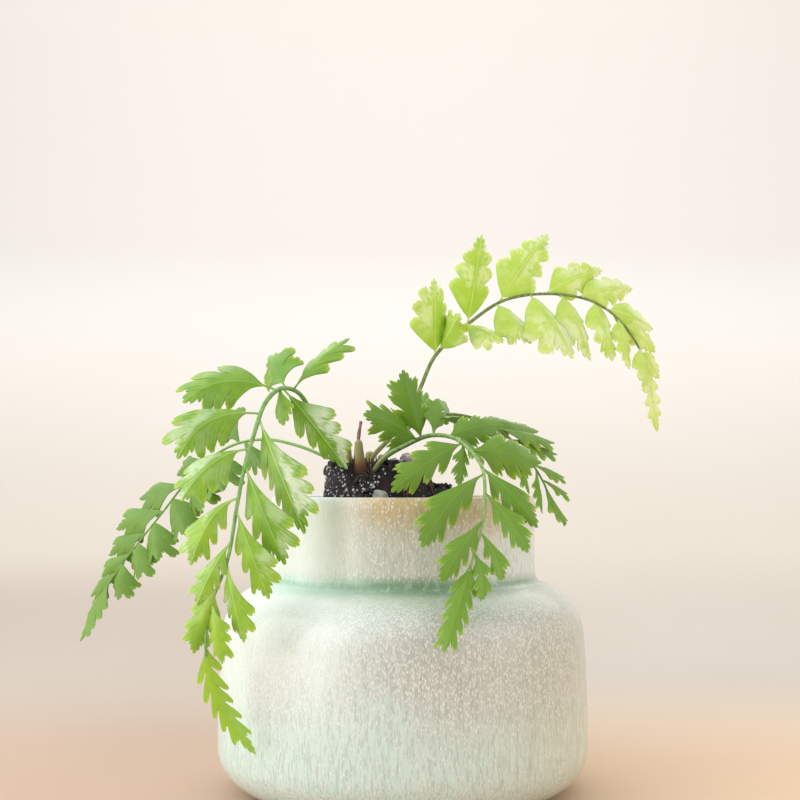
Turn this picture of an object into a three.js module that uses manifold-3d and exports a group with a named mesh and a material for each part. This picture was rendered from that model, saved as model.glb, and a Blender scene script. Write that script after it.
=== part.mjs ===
// A potted fern: five arching fronds with lobed, toothed leaflets, growing from a short scaly crown
// in a mound of bark potting mix, in a glazed jar-shaped ceramic pot.
// Millimetres, +Z up. The origin is the centre of the pot's flat foot, and -Y is the front.
import * as THREE from "three";
import { mergeVertices } from "three/addons/utils/BufferGeometryUtils.js";
import Module from "manifold-3d";

const wasm = await Module();
wasm.setup();

// Driving dimensions
const POT_HEIGHT = 108;
const BODY_RADIUS = 68.4;
const NECK_RADIUS = 49.3;
const FOOT_RADIUS = 47;
const NECK_HEIGHT = 76; // where the neck meets the shoulder
const WALL = 4;
const FLOOR = 6;
const ROUND_SIDES = 36; // of the pot and of the mix that fills it
const CLEARANCE = 0.35; // between pieces that touch

const SOIL_LEVEL = 101; // at the pot's wall
const SOIL_RINGS = [5.5, 11, 16, 20.5, 24.5, 28.5, 32, 38];

const CROWN = { x: -14.5, y: 3, bottom: 103, top: 122.5, radius: 9.5 };

const BLADE = 0.7; // thickness of a leaflet
const STEM_SIDES = 5;
const STEM_STATIONS = [0, 0.03, 0.06, 0.1, 0.15, 0.2, 0.26, 0.33, 0.41, 0.5, 0.6, 0.7, 0.8, 0.9];
const ROOT_STATIONS = STEM_STATIONS.slice(0, 5); // the part of a stem that its hole goes round
const STALK_HALF_WIDTH = 0.6;
const LEAFLET_FOLD = THREE.MathUtils.degToRad(12); // how far its halves droop from the midrib
const LEAFLET_TILT = THREE.MathUtils.degToRad(18); // neighbours overlap like shingles

const MATERIAL = {
  glaze: new THREE.MeshStandardMaterial({ color: 0xc9d2c0, roughness: 0.22, metalness: 0 }),
  soil: new THREE.MeshStandardMaterial({ color: 0x2b241f, roughness: 0.95, metalness: 0 }),
  crown: new THREE.MeshStandardMaterial({ color: 0x6d5a35, roughness: 0.85, metalness: 0 }),
  bark: new THREE.MeshStandardMaterial({ color: 0x6a3a24, roughness: 0.9, metalness: 0 }),
  pumice: new THREE.MeshStandardMaterial({ color: 0xc9c4bd, roughness: 0.95, metalness: 0 }),
  leaf: new THREE.MeshStandardMaterial({ color: 0x6fa32a, roughness: 0.5, metalness: 0 }),
  youngLeaf: new THREE.MeshStandardMaterial({ color: 0xb4d766, roughness: 0.5, metalness: 0 }),
};

const vector = (point) => new THREE.Vector3(...point);
const mix = THREE.MathUtils.lerp;

// Solids and meshes

function geometryOf(positions, triangles) {
  const geometry = new THREE.BufferGeometry();
  geometry.setAttribute("position", new THREE.Float32BufferAttribute(positions, 3));
  geometry.setIndex(triangles);
  return geometry;
}

function solidOf(geometry) {
  const bare = geometry.clone();
  bare.deleteAttribute("normal");
  bare.deleteAttribute("uv");
  const merged = mergeVertices(bare, 1e-3);
  const vertProperties = new Float32Array(merged.attributes.position.array);
  const triVerts = new Uint32Array(merged.index.array);
  return new wasm.Manifold(new wasm.Mesh({ numProp: 3, vertProperties, triVerts }));
}

function meshOf(name, solid, material) {
  const { numProp, vertProperties, triVerts } = solid.getMesh();
  const positions = [];
  for (let i = 0; i < vertProperties.length; i += numProp) {
    positions.push(...vertProperties.slice(i, i + 3));
  }
  const mesh = new THREE.Mesh(geometryOf(positions, Array.from(triVerts)), material);
  mesh.name = name;
  return mesh;
}

// A lathe turned about the pot's axis: a profile of [radius, height] pairs becomes a solid round +Z.
function turned(profile, sides) {
  return new THREE.LatheGeometry(profile, sides).rotateX(Math.PI / 2);
}

// A tapering tube with closed ends through the stations of a curve, given as shares of its length.
function tube(curve, stations, radiusAt, sides = STEM_SIDES) {
  const positions = [];
  const triangles = [];
  let side = new THREE.Vector3(0, 1, 0);
  for (const share of stations) {
    const centre = curve.getPointAt(share);
    const along = curve.getTangentAt(share);
    side = side.clone().addScaledVector(along, -side.dot(along)).normalize();
    const other = along.clone().cross(side);
    for (let j = 0; j < sides; j++) {
      const turn = (2 * Math.PI * j) / sides;
      const point = centre.clone();
      point.addScaledVector(side, radiusAt(share) * Math.cos(turn));
      point.addScaledVector(other, radiusAt(share) * Math.sin(turn));
      positions.push(...point.toArray());
    }
  }
  const last = (stations.length - 1) * sides;
  for (let ring = 0; ring < last; ring += sides) {
    for (let j = 0; j < sides; j++) {
      const a = ring + j;
      const b = ring + ((j + 1) % sides);
      triangles.push(a, b, a + sides, b, b + sides, a + sides);
    }
  }
  for (let j = 1; j < sides - 1; j++) {
    triangles.push(0, j + 1, j, last, last + j, last + j + 1);
  }
  return geometryOf(positions, triangles);
}

// Only the largest body of a solid, without the specks and the hollows that crossing blades can leave.
function largest(solid) {
  const bodies = solid.simplify(0.03).decompose();
  return bodies.reduce((best, body) => (body.volume() > best.volume() ? body : best));
}

// The pot

// The outer face from the foot's centre to the mouth.
function outerWall() {
  const path = new THREE.Path();
  path.moveTo(0, 0);
  path.lineTo(FOOT_RADIUS, 0);
  path.bezierCurveTo(58, 0, BODY_RADIUS, 6.5, BODY_RADIUS, 17);
  path.bezierCurveTo(BODY_RADIUS, 34, 67.9, 50, 66.9, 60);
  path.bezierCurveTo(65.4, 69, 59, 73.8, 52, NECK_HEIGHT);
  path.quadraticCurveTo(NECK_RADIUS + 0.3, NECK_HEIGHT + 1.4, NECK_RADIUS, NECK_HEIGHT + 4.5);
  path.lineTo(NECK_RADIUS, POT_HEIGHT - 7);
  path.bezierCurveTo(50, POT_HEIGHT - 2, 49.5, POT_HEIGHT, 47.6, POT_HEIGHT);
  path.lineTo(46, POT_HEIGHT - 0.5);
  return path.getPoints(3);
}

// The inner face from the floor's centre to the neck, or a face that keeps a gap to it.
function innerWall(gap = 0) {
  const points = [
    [0, FLOOR + gap],
    [44 - gap, FLOOR + gap],
    [57.5 - gap, 10 + gap],
    [BODY_RADIUS - WALL - gap, 20],
    [63.4 - gap, 50],
    [60 - gap, 62.5 - gap],
    [50 - gap, 70.5 - gap],
    [NECK_RADIUS - WALL - gap, 75.5 - gap],
  ];
  return points.map(([radius, height]) => new THREE.Vector2(radius, height));
}

function pot() {
  const lip = new THREE.Vector2(NECK_RADIUS - WALL, POT_HEIGHT - 2.5);
  return solidOf(turned([...outerWall(), lip, ...innerWall().reverse()], ROUND_SIDES));
}

// The potting mix: a root ball that stands proud of the rim in a bed of bark, perlite and dark crumbs.
// Each clod is a place, a radius, a height over the level at the wall, and how flat its top is.
const CLODS = [
  { x: -11.5, y: 4, radius: 18, height: 19.5, flat: 0.93 },
  { x: -22, y: 1, radius: 7.5, height: 21, flat: 0.3 },
  { x: 2, y: 0, radius: 13, height: 17, flat: 0.5 },
  { x: 12, y: 2, radius: 15, height: 10, flat: 0.3 },
  { x: -13, y: -16, radius: 10, height: 11, flat: 0.3 },
  { x: -5, y: 19, radius: 14, height: 14, flat: 0.3 },
  { x: 23, y: 11, radius: 11, height: 5, flat: 0.3 },
  { x: 27, y: -18, radius: 9, height: 3, flat: 0.2 },
  { x: -8, y: 34, radius: 9, height: 3, flat: 0.2 },
  { x: -36, y: -10, radius: 8, height: 2.5, flat: 0.2 },
];

function soilHeight(x, y) {
  let height = 0;
  for (const clod of CLODS) {
    const away = Math.hypot(x - clod.x, y - clod.y) / clod.radius;
    height = Math.max(height, clod.height * (1 - THREE.MathUtils.smoothstep(away, clod.flat, 1.12)));
  }
  const crumbs = Math.sin(x * 0.9 + 1.3) * Math.cos(y * 1.1) + 0.6 * Math.sin(x * 1.7 - y * 1.4);
  return SOIL_LEVEL + height + 0.6 * crumbs;
}

function soilBody() {
  const wall = innerWall(CLEARANCE);
  const mouth = wall[wall.length - 1].x;
  const positions = [0, 0, soilHeight(0, 0)];
  const triangles = [];
  const ring = (radius, heightAt) => {
    for (let j = 0; j < ROUND_SIDES; j++) {
      const turn = (2 * Math.PI * j) / ROUND_SIDES;
      const [x, y] = [radius * Math.cos(turn), radius * Math.sin(turn)];
      positions.push(x, y, heightAt(x, y));
    }
  };
  for (const radius of [...SOIL_RINGS, mouth]) ring(radius, soilHeight);
  for (const point of wall.slice(1).reverse()) ring(point.x, () => point.y);
  const rings = SOIL_RINGS.length + wall.length;
  const at = (i, j) => 1 + i * ROUND_SIDES + (j % ROUND_SIDES);
  const bottom = positions.length / 3;
  positions.push(0, 0, wall[0].y);
  for (let j = 0; j < ROUND_SIDES; j++) {
    triangles.push(0, at(0, j), at(0, j + 1));
    for (let i = 0; i < rings - 1; i++) {
      triangles.push(at(i, j), at(i + 1, j), at(i, j + 1));
      triangles.push(at(i, j + 1), at(i + 1, j), at(i + 1, j + 1));
    }
    triangles.push(bottom, at(rings - 1, j + 1), at(rings - 1, j));
  }
  return solidOf(geometryOf(positions, triangles));
}

// Perlite grains half sunk in the mound.
const GRAINS = [
  { x: -29, y: -13, size: 1.5 },
  { x: -21, y: -12, size: 1.4 },
  { x: -14, y: -21, size: 1.4 },
  { x: -3, y: -13, size: 1.6 },
  { x: 9, y: -12, size: 1.4 },
];

function grainAt({ x, y, size }) {
  return solidOf(new THREE.OctahedronGeometry(size).translate(x, y, soilHeight(x, y) + 0.1));
}

// Loose chips on the mix: an irregular outline, extruded and tumbled, half sunk in a socket of its own.
// Each lies at a place on the mix, raised or sunk by the third number.
const CHIPS = [
  { name: "bark_chip_front", at: [17.5, -19, 0.4], size: [11, 7, 3.4], turn: [0.35, -0.3, 0.4], kind: "bark" },
  { name: "bark_chip_centre", at: [2, -5, 0.9], size: [6.5, 5, 4.5], turn: [0.5, 0.3, -0.5], kind: "bark" },
  { name: "bark_chip_rear", at: [3, 12, 0.6], size: [7, 6, 4.4], turn: [0.2, 0.5, 0.9], kind: "bark" },
  { name: "bark_chip_left", at: [-30, -23, 0.3], size: [9, 4.4, 2.8], turn: [0.1, 0.2, 2.3], kind: "bark" },
  { name: "bark_chip_right", at: [31, 6, 0.4], size: [10, 6, 3.2], turn: [0.2, 0.1, 1.2], kind: "bark" },
  { name: "pumice_front", at: [-8, -21, 0.9], size: [6, 5.2, 4.6], turn: [0.2, 0.4, 1.4], kind: "pumice" },
];

function chipGeometry(chip, grow = 0) {
  const corners = 6;
  const outline = [];
  for (let i = 0; i < corners; i++) {
    const turn = (2 * Math.PI * i) / corners;
    const bulge = 1 + 0.16 * Math.sin(5 * turn + chip.at[0]);
    outline.push(new THREE.Vector2(Math.cos(turn), Math.sin(turn)).multiplyScalar(0.5 * bulge));
  }
  const [long, wide, thick] = chip.size.map((side) => side + 2 * grow);
  const bevel = 0.18;
  const geometry = new THREE.ExtrudeGeometry(new THREE.Shape(outline), {
    depth: 1 - 2 * bevel,
    bevelThickness: bevel,
    bevelSize: 0.1,
    bevelOffset: -0.1,
    bevelSegments: 1,
  });
  geometry.translate(0, 0, bevel - 0.5).scale(long, wide, thick);
  const [x, y, raised] = chip.at;
  geometry.rotateX(chip.turn[0]).rotateY(chip.turn[1]).rotateZ(chip.turn[2]);
  return geometry.translate(x, y, soilHeight(x, y) + raised);
}

// The crown: a short rhizome with the stout bases of old fronds round its top.
const STUBS = [
  { foot: [-17, -1.5, 114], head: [-17.2, -4.9, 128.5], radius: 2.3 },
  { foot: [-19.5, -0.8, 114], head: [-21.6, -1.9, 127.5], radius: 1.6 },
  { foot: [-9.5, 3, 114], head: [-7.4, 2, 125], radius: 1.6 },
  { foot: [-16.9, -3, 120], head: [-15.6, -4.8, 136], radius: 0.9 },
];

function crownProfile(gap = 0) {
  const { bottom, top, radius } = CROWN;
  const path = new THREE.Path();
  path.moveTo(0, bottom - gap);
  path.bezierCurveTo(6 + gap, bottom - gap, radius + gap, bottom + 4 - gap, radius + gap, bottom + 9);
  path.bezierCurveTo(radius + gap, top - 4 + gap, 6 + gap, top + gap, 0, top + gap);
  return path.getPoints(2);
}

function crownBody(gap = 0) {
  return solidOf(turned(crownProfile(gap), 12).translate(CROWN.x, CROWN.y, 0));
}

// The plain hole that the crown stands in, open to the top.
function crownHole() {
  const gap = 1.2 * CLEARANCE;
  const { x, y, bottom, top, radius } = CROWN;
  const shaft = [[0, bottom + 9], [radius + gap, bottom + 9], [radius + gap, top + 8], [0, top + 8]];
  const profile = shaft.map(([out, height]) => new THREE.Vector2(out, height));
  return crownBody(gap).add(solidOf(turned(profile, 12).translate(x, y, 0)));
}

function crown() {
  let body = crownBody();
  for (const { foot, head, radius } of STUBS) {
    const line = new THREE.LineCurve3(vector(foot), vector(head));
    body = body.add(solidOf(tube(line, [0, 0.7, 1], (share) => radius * (1 - 0.6 * share ** 3))));
  }
  return body;
}

// Leaflets

// One side of the blade from stalk to tip, as {along, out, root} in units of the leaflet's length. Each lobe
// is a narrow fan that leaves the midrib at its root, leans forward and ends in two teeth, and a deep cut runs
// back between lobes. The width is how far the first lobe reaches from the midrib.
function leafletSide({ lobes, width, shift }, length) {
  const stalk = STALK_HALF_WIDTH / length;
  const points = [
    { along: 0, out: stalk, root: 0 },
    { along: 0.07, out: stalk, root: 0.06 },
  ];
  const spreading = Math.sqrt(width / 0.21);
  const fan = THREE.MathUtils.degToRad((27 / lobes) * spreading);
  for (let lobe = 0; lobe < lobes; lobe++) {
    const root = 0.1 + shift + (0.66 * lobe) / lobes;
    const next = root + 0.66 / lobes;
    const reach = (0.37 - 0.14 * root) * spreading;
    const angle = THREE.MathUtils.degToRad(31 - 9 * root) * spreading;
    const place = (turn, depth, after) => {
      const along = root + depth * reach * Math.cos(angle + turn);
      points.push({ along, out: depth * reach * Math.sin(angle + turn), root: mix(root, next, after) });
    };
    const last = lobe === lobes - 1;
    if (last) place(0, 1, 0.5);
    else {
      place(fan, 0.95, 0);
      place(0.1 * fan, 0.87, 0.25);
      place(-fan, 1.04, 0.5);
    }
    const cut = 0.33 * width * (1 - 0.5 * root);
    points.push({ along: next + 1.3 * cut, out: cut, root: next });
  }
  points.push({ along: 0.93, out: 0.3 * width, root: 0.88 });
  return points;
}

// Splits the strip between the midrib and one side of the outline into triangles, the same for both faces.
function strip(rib, ribRoots, side, sideRoots) {
  const triangles = [];
  let i = 0;
  let j = 0;
  while (i < rib.length - 1 || j < side.length - 1) {
    const sideDone = j === side.length - 1;
    const ribNext = i < rib.length - 1 && ribRoots[i + 1] < sideRoots[j + 1];
    if (sideDone || ribNext) {
      triangles.push([rib[i], side[j], rib[i + 1]]);
      i++;
    } else {
      triangles.push([rib[i], side[j], side[j + 1]]);
      j++;
    }
  }
  return triangles.filter(([a, b, c]) => a !== b && b !== c && a !== c);
}

// A leaflet as a thin closed solid on the curve of its midrib. Faces is where its upper side looks.
function leaflet(midrib, length, faces, shape) {
  const ribRoots = [0, 0.06, 0.3, 0.6, 1];
  const sides = [leafletSide(shape, length), leafletSide({ ...shape, shift: -shape.shift }, length)];
  const positions = [];
  const place = (along, out, sign) => {
    const share = Math.min(1, along);
    const tangent = midrib.getTangentAt(share);
    const up = faces.clone().addScaledVector(tangent, -faces.dot(tangent)).normalize();
    const across = tangent.clone().cross(up).multiplyScalar(sign);
    const fold = sign === 0 ? 0 : LEAFLET_FOLD;
    const normal = up.clone().multiplyScalar(Math.cos(fold)).addScaledVector(across, Math.sin(fold));
    const point = midrib.getPointAt(share);
    point.addScaledVector(across, out * length * Math.cos(fold));
    point.addScaledVector(up, -out * length * Math.sin(fold));
    positions.push(...point.clone().addScaledVector(normal, BLADE / 2).toArray());
    positions.push(...point.clone().addScaledVector(normal, -BLADE / 2).toArray());
    return positions.length / 6 - 1; // its vertices are 2 * index above and 2 * index + 1 below
  };
  const rib = ribRoots.map((root) => place(root, 0, 0));
  const triangles = [];
  const rims = sides.map((points, which) => {
    const sign = which === 0 ? 1 : -1;
    const chain = [...points.map(({ along, out }) => place(along, out, sign)), rib[rib.length - 1]];
    const roots = [...points.map(({ root }) => root), 1];
    for (const [a, b, c] of strip(rib, ribRoots, chain, roots)) {
      const [p, q] = sign > 0 ? [b, c] : [c, b];
      triangles.push(2 * a, 2 * p, 2 * q, 2 * a + 1, 2 * q + 1, 2 * p + 1);
    }
    return chain;
  });
  const outline = [rib[0], ...rims[0], ...rims[1].slice(0, -1).reverse()];
  outline.forEach((a, i) => {
    const b = outline[(i + 1) % outline.length];
    triangles.push(2 * a, 2 * a + 1, 2 * b, 2 * b, 2 * a + 1, 2 * b + 1);
  });
  return solidOf(geometryOf(positions, triangles));
}

// Fronds
// Each has its curve from root to tip, its stem's radius at the root, where its upper side looks, where its
// end leaflet starts, and its leaflets: how far along they stand, their tip, and a point midway on a bent one.
const FRONDS = [
  {
    name: "frond_left_front",
    leafletWidth: 0.21,
    radius: 1.3,
    faces: [-0.2, -0.85, 0.5],
    endLeaflet: 0.79,
    curve: [
      [-18.5, 3, 113], [-22, 2, 121], [-27.5, -3, 129], [-33.5, -11, 138.5], [-38, -20, 145.5],
      [-43.5, -30, 146.5], [-48, -39, 141], [-51, -48, 129.5], [-53.5, -54, 118], [-55.5, -58, 104.5],
      [-58, -61, 87.5], [-63, -62, 73.5], [-65, -61, 61.5], [-63, -60, 47.5], [-56.5, -59, 34.5],
      [-48.5, -59, 24],
    ],
    leaflets: [
      { at: 0.25, tip: [-20, -6, 167], width: 0.2 },
      { at: 0.275, tip: [-50, -8, 160] },
      { at: 0.304, tip: [-76, -44, 140.5], via: [-62.5, -37, 148.5], width: 0.25 },
      { at: 0.293, tip: [-42, -36, 133], width: 0.36 },
      { at: 0.284, tip: [-20, -26, 118] },
      { at: 0.378, tip: [-76, -54, 121], via: [-66, -50, 134], width: 0.28 },
      { at: 0.388, tip: [-33, -54, 96] },
      { at: 0.454, tip: [-74, -59, 107], via: [-64, -57, 119.5] },
      { at: 0.486, tip: [-39, -60, 86] },
      { at: 0.544, tip: [-70, -62, 86], via: [-63.5, -62, 101] },
      { at: 0.565, tip: [-44, -63, 75] },
      { at: 0.618, tip: [-68, -62, 73] },
      { at: 0.655, tip: [-52, -64, 61] },
      { at: 0.691, tip: [-69, -60, 57] },
      { at: 0.721, tip: [-59, -64, 54], width: 0.2 },
    ],
  },
  {
    name: "frond_left_rear",
    leafletWidth: 0.19,
    simple: true,
    radius: 1.0,
    faces: [-0.35, -0.65, 0.7],
    endLeaflet: 0.84,
    curve: [
      [-16.5, 7, 114], [-20.5, 8, 119.5], [-30, 10, 123], [-40, 15, 127], [-54.5, 24, 130],
      [-69.5, 33, 127.5], [-84, 41, 118], [-100, 48, 99.5], [-115, 52, 81], [-126.5, 54, 64],
      [-134, 55, 47],
    ],
    leaflets: [
      { at: 0.345, tip: [-73, 50, 141] },
      { at: 0.33, tip: [-55, 20, 116] },
      { at: 0.42, tip: [-95, 58, 116], width: 0.15 },
      { at: 0.41, tip: [-71, 22, 106] },
      { at: 0.49, tip: [-111, 60, 106], width: 0.15 },
      { at: 0.49, tip: [-81, 30, 98] },
      { at: 0.565, tip: [-121, 62, 93], width: 0.15 },
      { at: 0.58, tip: [-87, 36, 88] },
      { at: 0.64, tip: [-124, 62, 82], width: 0.15 },
      { at: 0.665, tip: [-99, 42, 78] },
      { at: 0.715, tip: [-127, 62, 73], width: 0.15 },
      { at: 0.74, tip: [-108, 46, 70] },
      { at: 0.78, tip: [-131, 60, 65], width: 0.15 },
      { at: 0.8, tip: [-117, 50, 62] },
    ],
  },
  {
    name: "frond_front",
    leafletWidth: 0.25,
    radius: 1.35,
    faces: [0.1, -0.8, 0.6],
    endLeaflet: 0.76,
    curve: [
      [-12.5, -1.5, 113.5], [-10.5, -4, 118], [-6.5, -8, 122.5], [1.5, -14, 127], [9.5, -22, 130],
      [17.5, -31, 129], [23, -40, 124.5], [27, -47, 118], [27.5, -53, 110], [26.5, -57, 100],
      [23.5, -61, 90], [20, -66, 80], [17.5, -70, 72.5], [12.5, -78, 59.5],
    ],
    leaflets: [
      { at: 0.226, tip: [0, -20, 154], faces: [-0.1, -0.9, 0.2], width: 0.34 },
      { at: 0.209, tip: [-14, -36, 137], width: 0.36 },
      { at: 0.271, tip: [13, -10, 144] },
      { at: 0.328, tip: [36, -20, 134], faces: [0, -0.8, 0.6], width: 0.34 },
      { at: 0.391, tip: [-4, -52, 110] },
      { at: 0.397, tip: [19, -44, 112] },
      { at: 0.432, tip: [49, -30, 120], width: 0.36 },
      { at: 0.523, tip: [6, -66, 92], via: [16, -57, 107] },
      { at: 0.503, tip: [45, -54, 98] },
      { at: 0.578, tip: [41, -62, 90], via: [35.5, -58.5, 100] },
      { at: 0.65, tip: [12, -70, 81], via: [20, -64, 93] },
      { at: 0.682, tip: [32, -66, 81], via: [30, -62, 89.5] },
      { at: 0.736, tip: [25, -70, 75], via: [25.5, -65.5, 83] },
    ],
  },
  {
    name: "frond_upper",
    leafletWidth: 0.3,
    radius: 0.95,
    faces: [0.1, -0.85, 0.5],
    endLeaflet: 0.84,
    curve: [
      [-14, 5, 113], [-11.5, 5, 122.5], [-5, 7, 130], [2, 10, 140], [6.5, 13, 149], [12, 16, 161.5],
      [18.5, 18, 169], [27, 20, 176.5], [40.5, 24, 185.5], [58, 27, 188.5], [75.5, 29, 186],
      [86.5, 30, 179], [94.5, 30, 168], [99, 29, 152.5], [101.5, 28, 133],
    ],
    leaflets: [
      { at: 0.3, tip: [12, 8, 192], width: 0.34 },
      { at: 0.316, tip: [22, 6, 178], width: 0.36 },
      { at: 0.396, tip: [31, 14, 210] },
      { at: 0.394, tip: [39, 10, 167], width: 0.34 },
      { at: 0.479, tip: [59, 34, 214] },
      { at: 0.472, tip: [50, 14, 167], width: 0.34 },
      { at: 0.58, tip: [82, 40, 200], width: 0.32 },
      { at: 0.547, tip: [66, 12, 161], width: 0.3 },
      { at: 0.651, tip: [95, 44, 193], width: 0.32 },
      { at: 0.613, tip: [74, 20, 161] },
      { at: 0.716, tip: [103, 42, 176] },
      { at: 0.682, tip: [83, 22, 161], width: 0.24 },
      { at: 0.762, tip: [103, 38, 166] },
      { at: 0.746, tip: [90, 24, 158], width: 0.24 },
      { at: 0.829, tip: [104, 36, 155] },
      { at: 0.82, tip: [98, 26, 148], width: 0.24 },
    ],
  },
  {
    name: "frond_right_rear",
    leafletWidth: 0.19,
    simple: true,
    radius: 1.0,
    faces: [0.3, -0.25, 0.9],
    endLeaflet: 0.84,
    curve: [
      [-13, 9, 114], [-9.5, 11, 120.5], [-5, 14, 125], [-0.5, 19, 131], [5, 26, 137], [13, 34, 140],
      [23.5, 42, 140.5], [36.5, 50, 137], [47, 56, 129.5], [56, 60, 119], [63.5, 62, 106],
      [70, 63, 96.5],
    ],
    leaflets: [
      { at: 0.3, tip: [10, 44, 150] },
      { at: 0.31, tip: [26, 18, 138] },
      { at: 0.4, tip: [18, 60, 147] },
      { at: 0.413, tip: [32, 22, 120] },
      { at: 0.526, tip: [59, 74, 135] },
      { at: 0.51, tip: [42, 30, 120] },
      { at: 0.604, tip: [66, 74, 130] },
      { at: 0.6, tip: [48, 38, 114] },
      { at: 0.667, tip: [67, 74, 125] },
      { at: 0.7, tip: [52, 46, 108] },
      { at: 0.782, tip: [70, 73, 115] },
      { at: 0.8, tip: [58, 52, 100] },
      { at: 0.84, tip: [71, 71, 108] },
    ],
  },
];

const stemRadius = (frond, share) => frond.radius * (1 - 0.62 * share);
const frondCurve = (frond) => new THREE.CatmullRomCurve3(frond.curve.map(vector), false, "centripetal");

function frondSolid(frond) {
  const curve = frondCurve(frond);
  const { endLeaflet } = frond;
  const start = CLEARANCE / curve.getLength();
  const stations = [start, ...STEM_STATIONS.slice(1)];
  let body = solidOf(tube(curve, stations, (share) => stemRadius(frond, share)));
  frond.leaflets.forEach(({ at, tip, via, faces = frond.faces, width = frond.leafletWidth }, i) => {
    const base = curve.getPointAt(at);
    const end = vector(tip);
    const length = base.distanceTo(end);
    const up = vector(faces).normalize();
    const middle = via ? vector(via) : base.clone().lerp(end, 0.5).addScaledVector(up, 0.09 * length);
    const bend = middle.multiplyScalar(2).addScaledVector(base, -0.5).addScaledVector(end, -0.5);
    const midrib = new THREE.QuadraticBezierCurve3(base, bend, end);
    const direction = end.clone().sub(base).normalize();
    const side = Math.sign(curve.getTangentAt(at).cross(direction).dot(up));
    up.applyAxisAngle(direction, side * LEAFLET_TILT);
    const lobes = frond.simple || length < 29 ? 2 : 3;
    const shape = { width, lobes, shift: i % 2 ? 0.03 : -0.03 };
    body = body.add(leaflet(midrib, midrib.getLength(), up, shape));
  });
  const shares = [0, 0.25, 0.5, 0.75, 1];
  const rest = new THREE.CatmullRomCurve3(shares.map((share) => curve.getPointAt(mix(endLeaflet, 1, share))));
  const shape = { width: 0.13, lobes: 4, shift: 0.03 };
  return largest(body.add(leaflet(rest, rest.getLength(), vector(frond.faces).normalize(), shape)));
}

// The plain hole that a frond's root stands in.
function rootHole(frond) {
  const radiusAt = (share) => stemRadius(frond, share) + 1.2 * CLEARANCE;
  return solidOf(tube(frondCurve(frond), ROOT_STATIONS, radiusAt));
}

const group = new THREE.Group();
const holes = FRONDS.map(rootHole);
const without = (body, cutters) => cutters.reduce((left, cutter) => left.subtract(cutter), body);

group.add(meshOf("pot", pot(), MATERIAL.glaze));

group.add(meshOf("crown", largest(without(crown(), holes)), MATERIAL.crown));

const sockets = CHIPS.map((chip) => solidOf(chipGeometry(chip, 1.4 * CLEARANCE)));
const mound = GRAINS.reduce((body, grain) => body.add(grainAt(grain)), soilBody());
const soil = without(mound, [crownHole(), ...holes, ...sockets]);
group.add(meshOf("soil", largest(soil), MATERIAL.soil));

for (const chip of CHIPS) group.add(meshOf(chip.name, solidOf(chipGeometry(chip)), MATERIAL[chip.kind]));

for (const frond of FRONDS) {
  const material = frond.name === "frond_upper" ? MATERIAL.youngLeaf : MATERIAL.leaf;
  group.add(meshOf(frond.name, frondSolid(frond), material));
}

export default group;
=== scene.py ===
"""A potted fern: five arching fronds, their crown, the bark mix that they root in, and a glazed jar pot.

Metres, +Z up, the pot's foot on the floor at the origin and -Y the front. Lengths in the tables are
millimetres and are scaled as a mesh is made.
"""

import math
import random

import bmesh
import bpy
import numpy as np
from mathutils import Euler, Matrix, Vector, noise


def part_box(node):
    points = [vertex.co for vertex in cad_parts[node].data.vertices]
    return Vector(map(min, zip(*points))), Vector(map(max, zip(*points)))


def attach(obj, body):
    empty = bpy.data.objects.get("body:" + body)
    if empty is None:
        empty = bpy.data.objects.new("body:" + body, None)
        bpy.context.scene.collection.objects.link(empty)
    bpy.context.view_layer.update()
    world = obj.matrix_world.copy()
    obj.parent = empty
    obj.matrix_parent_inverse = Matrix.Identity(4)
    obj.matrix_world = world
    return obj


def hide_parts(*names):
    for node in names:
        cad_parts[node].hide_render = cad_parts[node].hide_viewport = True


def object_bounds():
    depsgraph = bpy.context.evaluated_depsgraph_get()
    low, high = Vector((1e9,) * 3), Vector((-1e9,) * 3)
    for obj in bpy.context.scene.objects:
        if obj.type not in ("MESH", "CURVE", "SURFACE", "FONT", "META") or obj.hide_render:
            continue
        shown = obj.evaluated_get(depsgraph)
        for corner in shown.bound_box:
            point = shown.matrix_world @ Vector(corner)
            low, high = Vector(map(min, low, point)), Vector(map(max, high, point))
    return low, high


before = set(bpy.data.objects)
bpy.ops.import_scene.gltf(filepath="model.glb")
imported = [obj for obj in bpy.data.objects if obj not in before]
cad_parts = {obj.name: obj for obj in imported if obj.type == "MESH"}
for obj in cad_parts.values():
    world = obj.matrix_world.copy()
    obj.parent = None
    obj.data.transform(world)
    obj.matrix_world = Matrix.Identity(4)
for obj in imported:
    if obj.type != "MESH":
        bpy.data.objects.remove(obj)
cad_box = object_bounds()

MM = 0.001
AROUND = 6.28  # a whole turn, for random draws


# Finishes


def tint(code):
    """A colour from its hex code, in linear light."""
    parts = [int(code[i : i + 2], 16) / 255 for i in (0, 2, 4)]
    linear = [p / 12.92 if p < 0.04045 else ((p + 0.055) / 1.055) ** 2.4 for p in parts]
    return (*linear, 1.0)


class Value:
    """A shader socket that can be written into arithmetic."""

    def __init__(self, finish, socket):
        self.finish = finish
        self.socket = socket

    def maths(self, operation, *terms):
        return self.finish.node("ShaderNodeMath", {"operation": operation}, dict(enumerate(terms)))

    def __add__(self, other):
        return self.maths("ADD", self, other)

    def __radd__(self, other):
        return self.maths("ADD", other, self)

    def __sub__(self, other):
        return self.maths("SUBTRACT", self, other)

    def __rsub__(self, other):
        return self.maths("SUBTRACT", other, self)

    def __mul__(self, other):
        return self.maths("MULTIPLY", self, other)

    def __rmul__(self, other):
        return self.maths("MULTIPLY", other, self)


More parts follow.
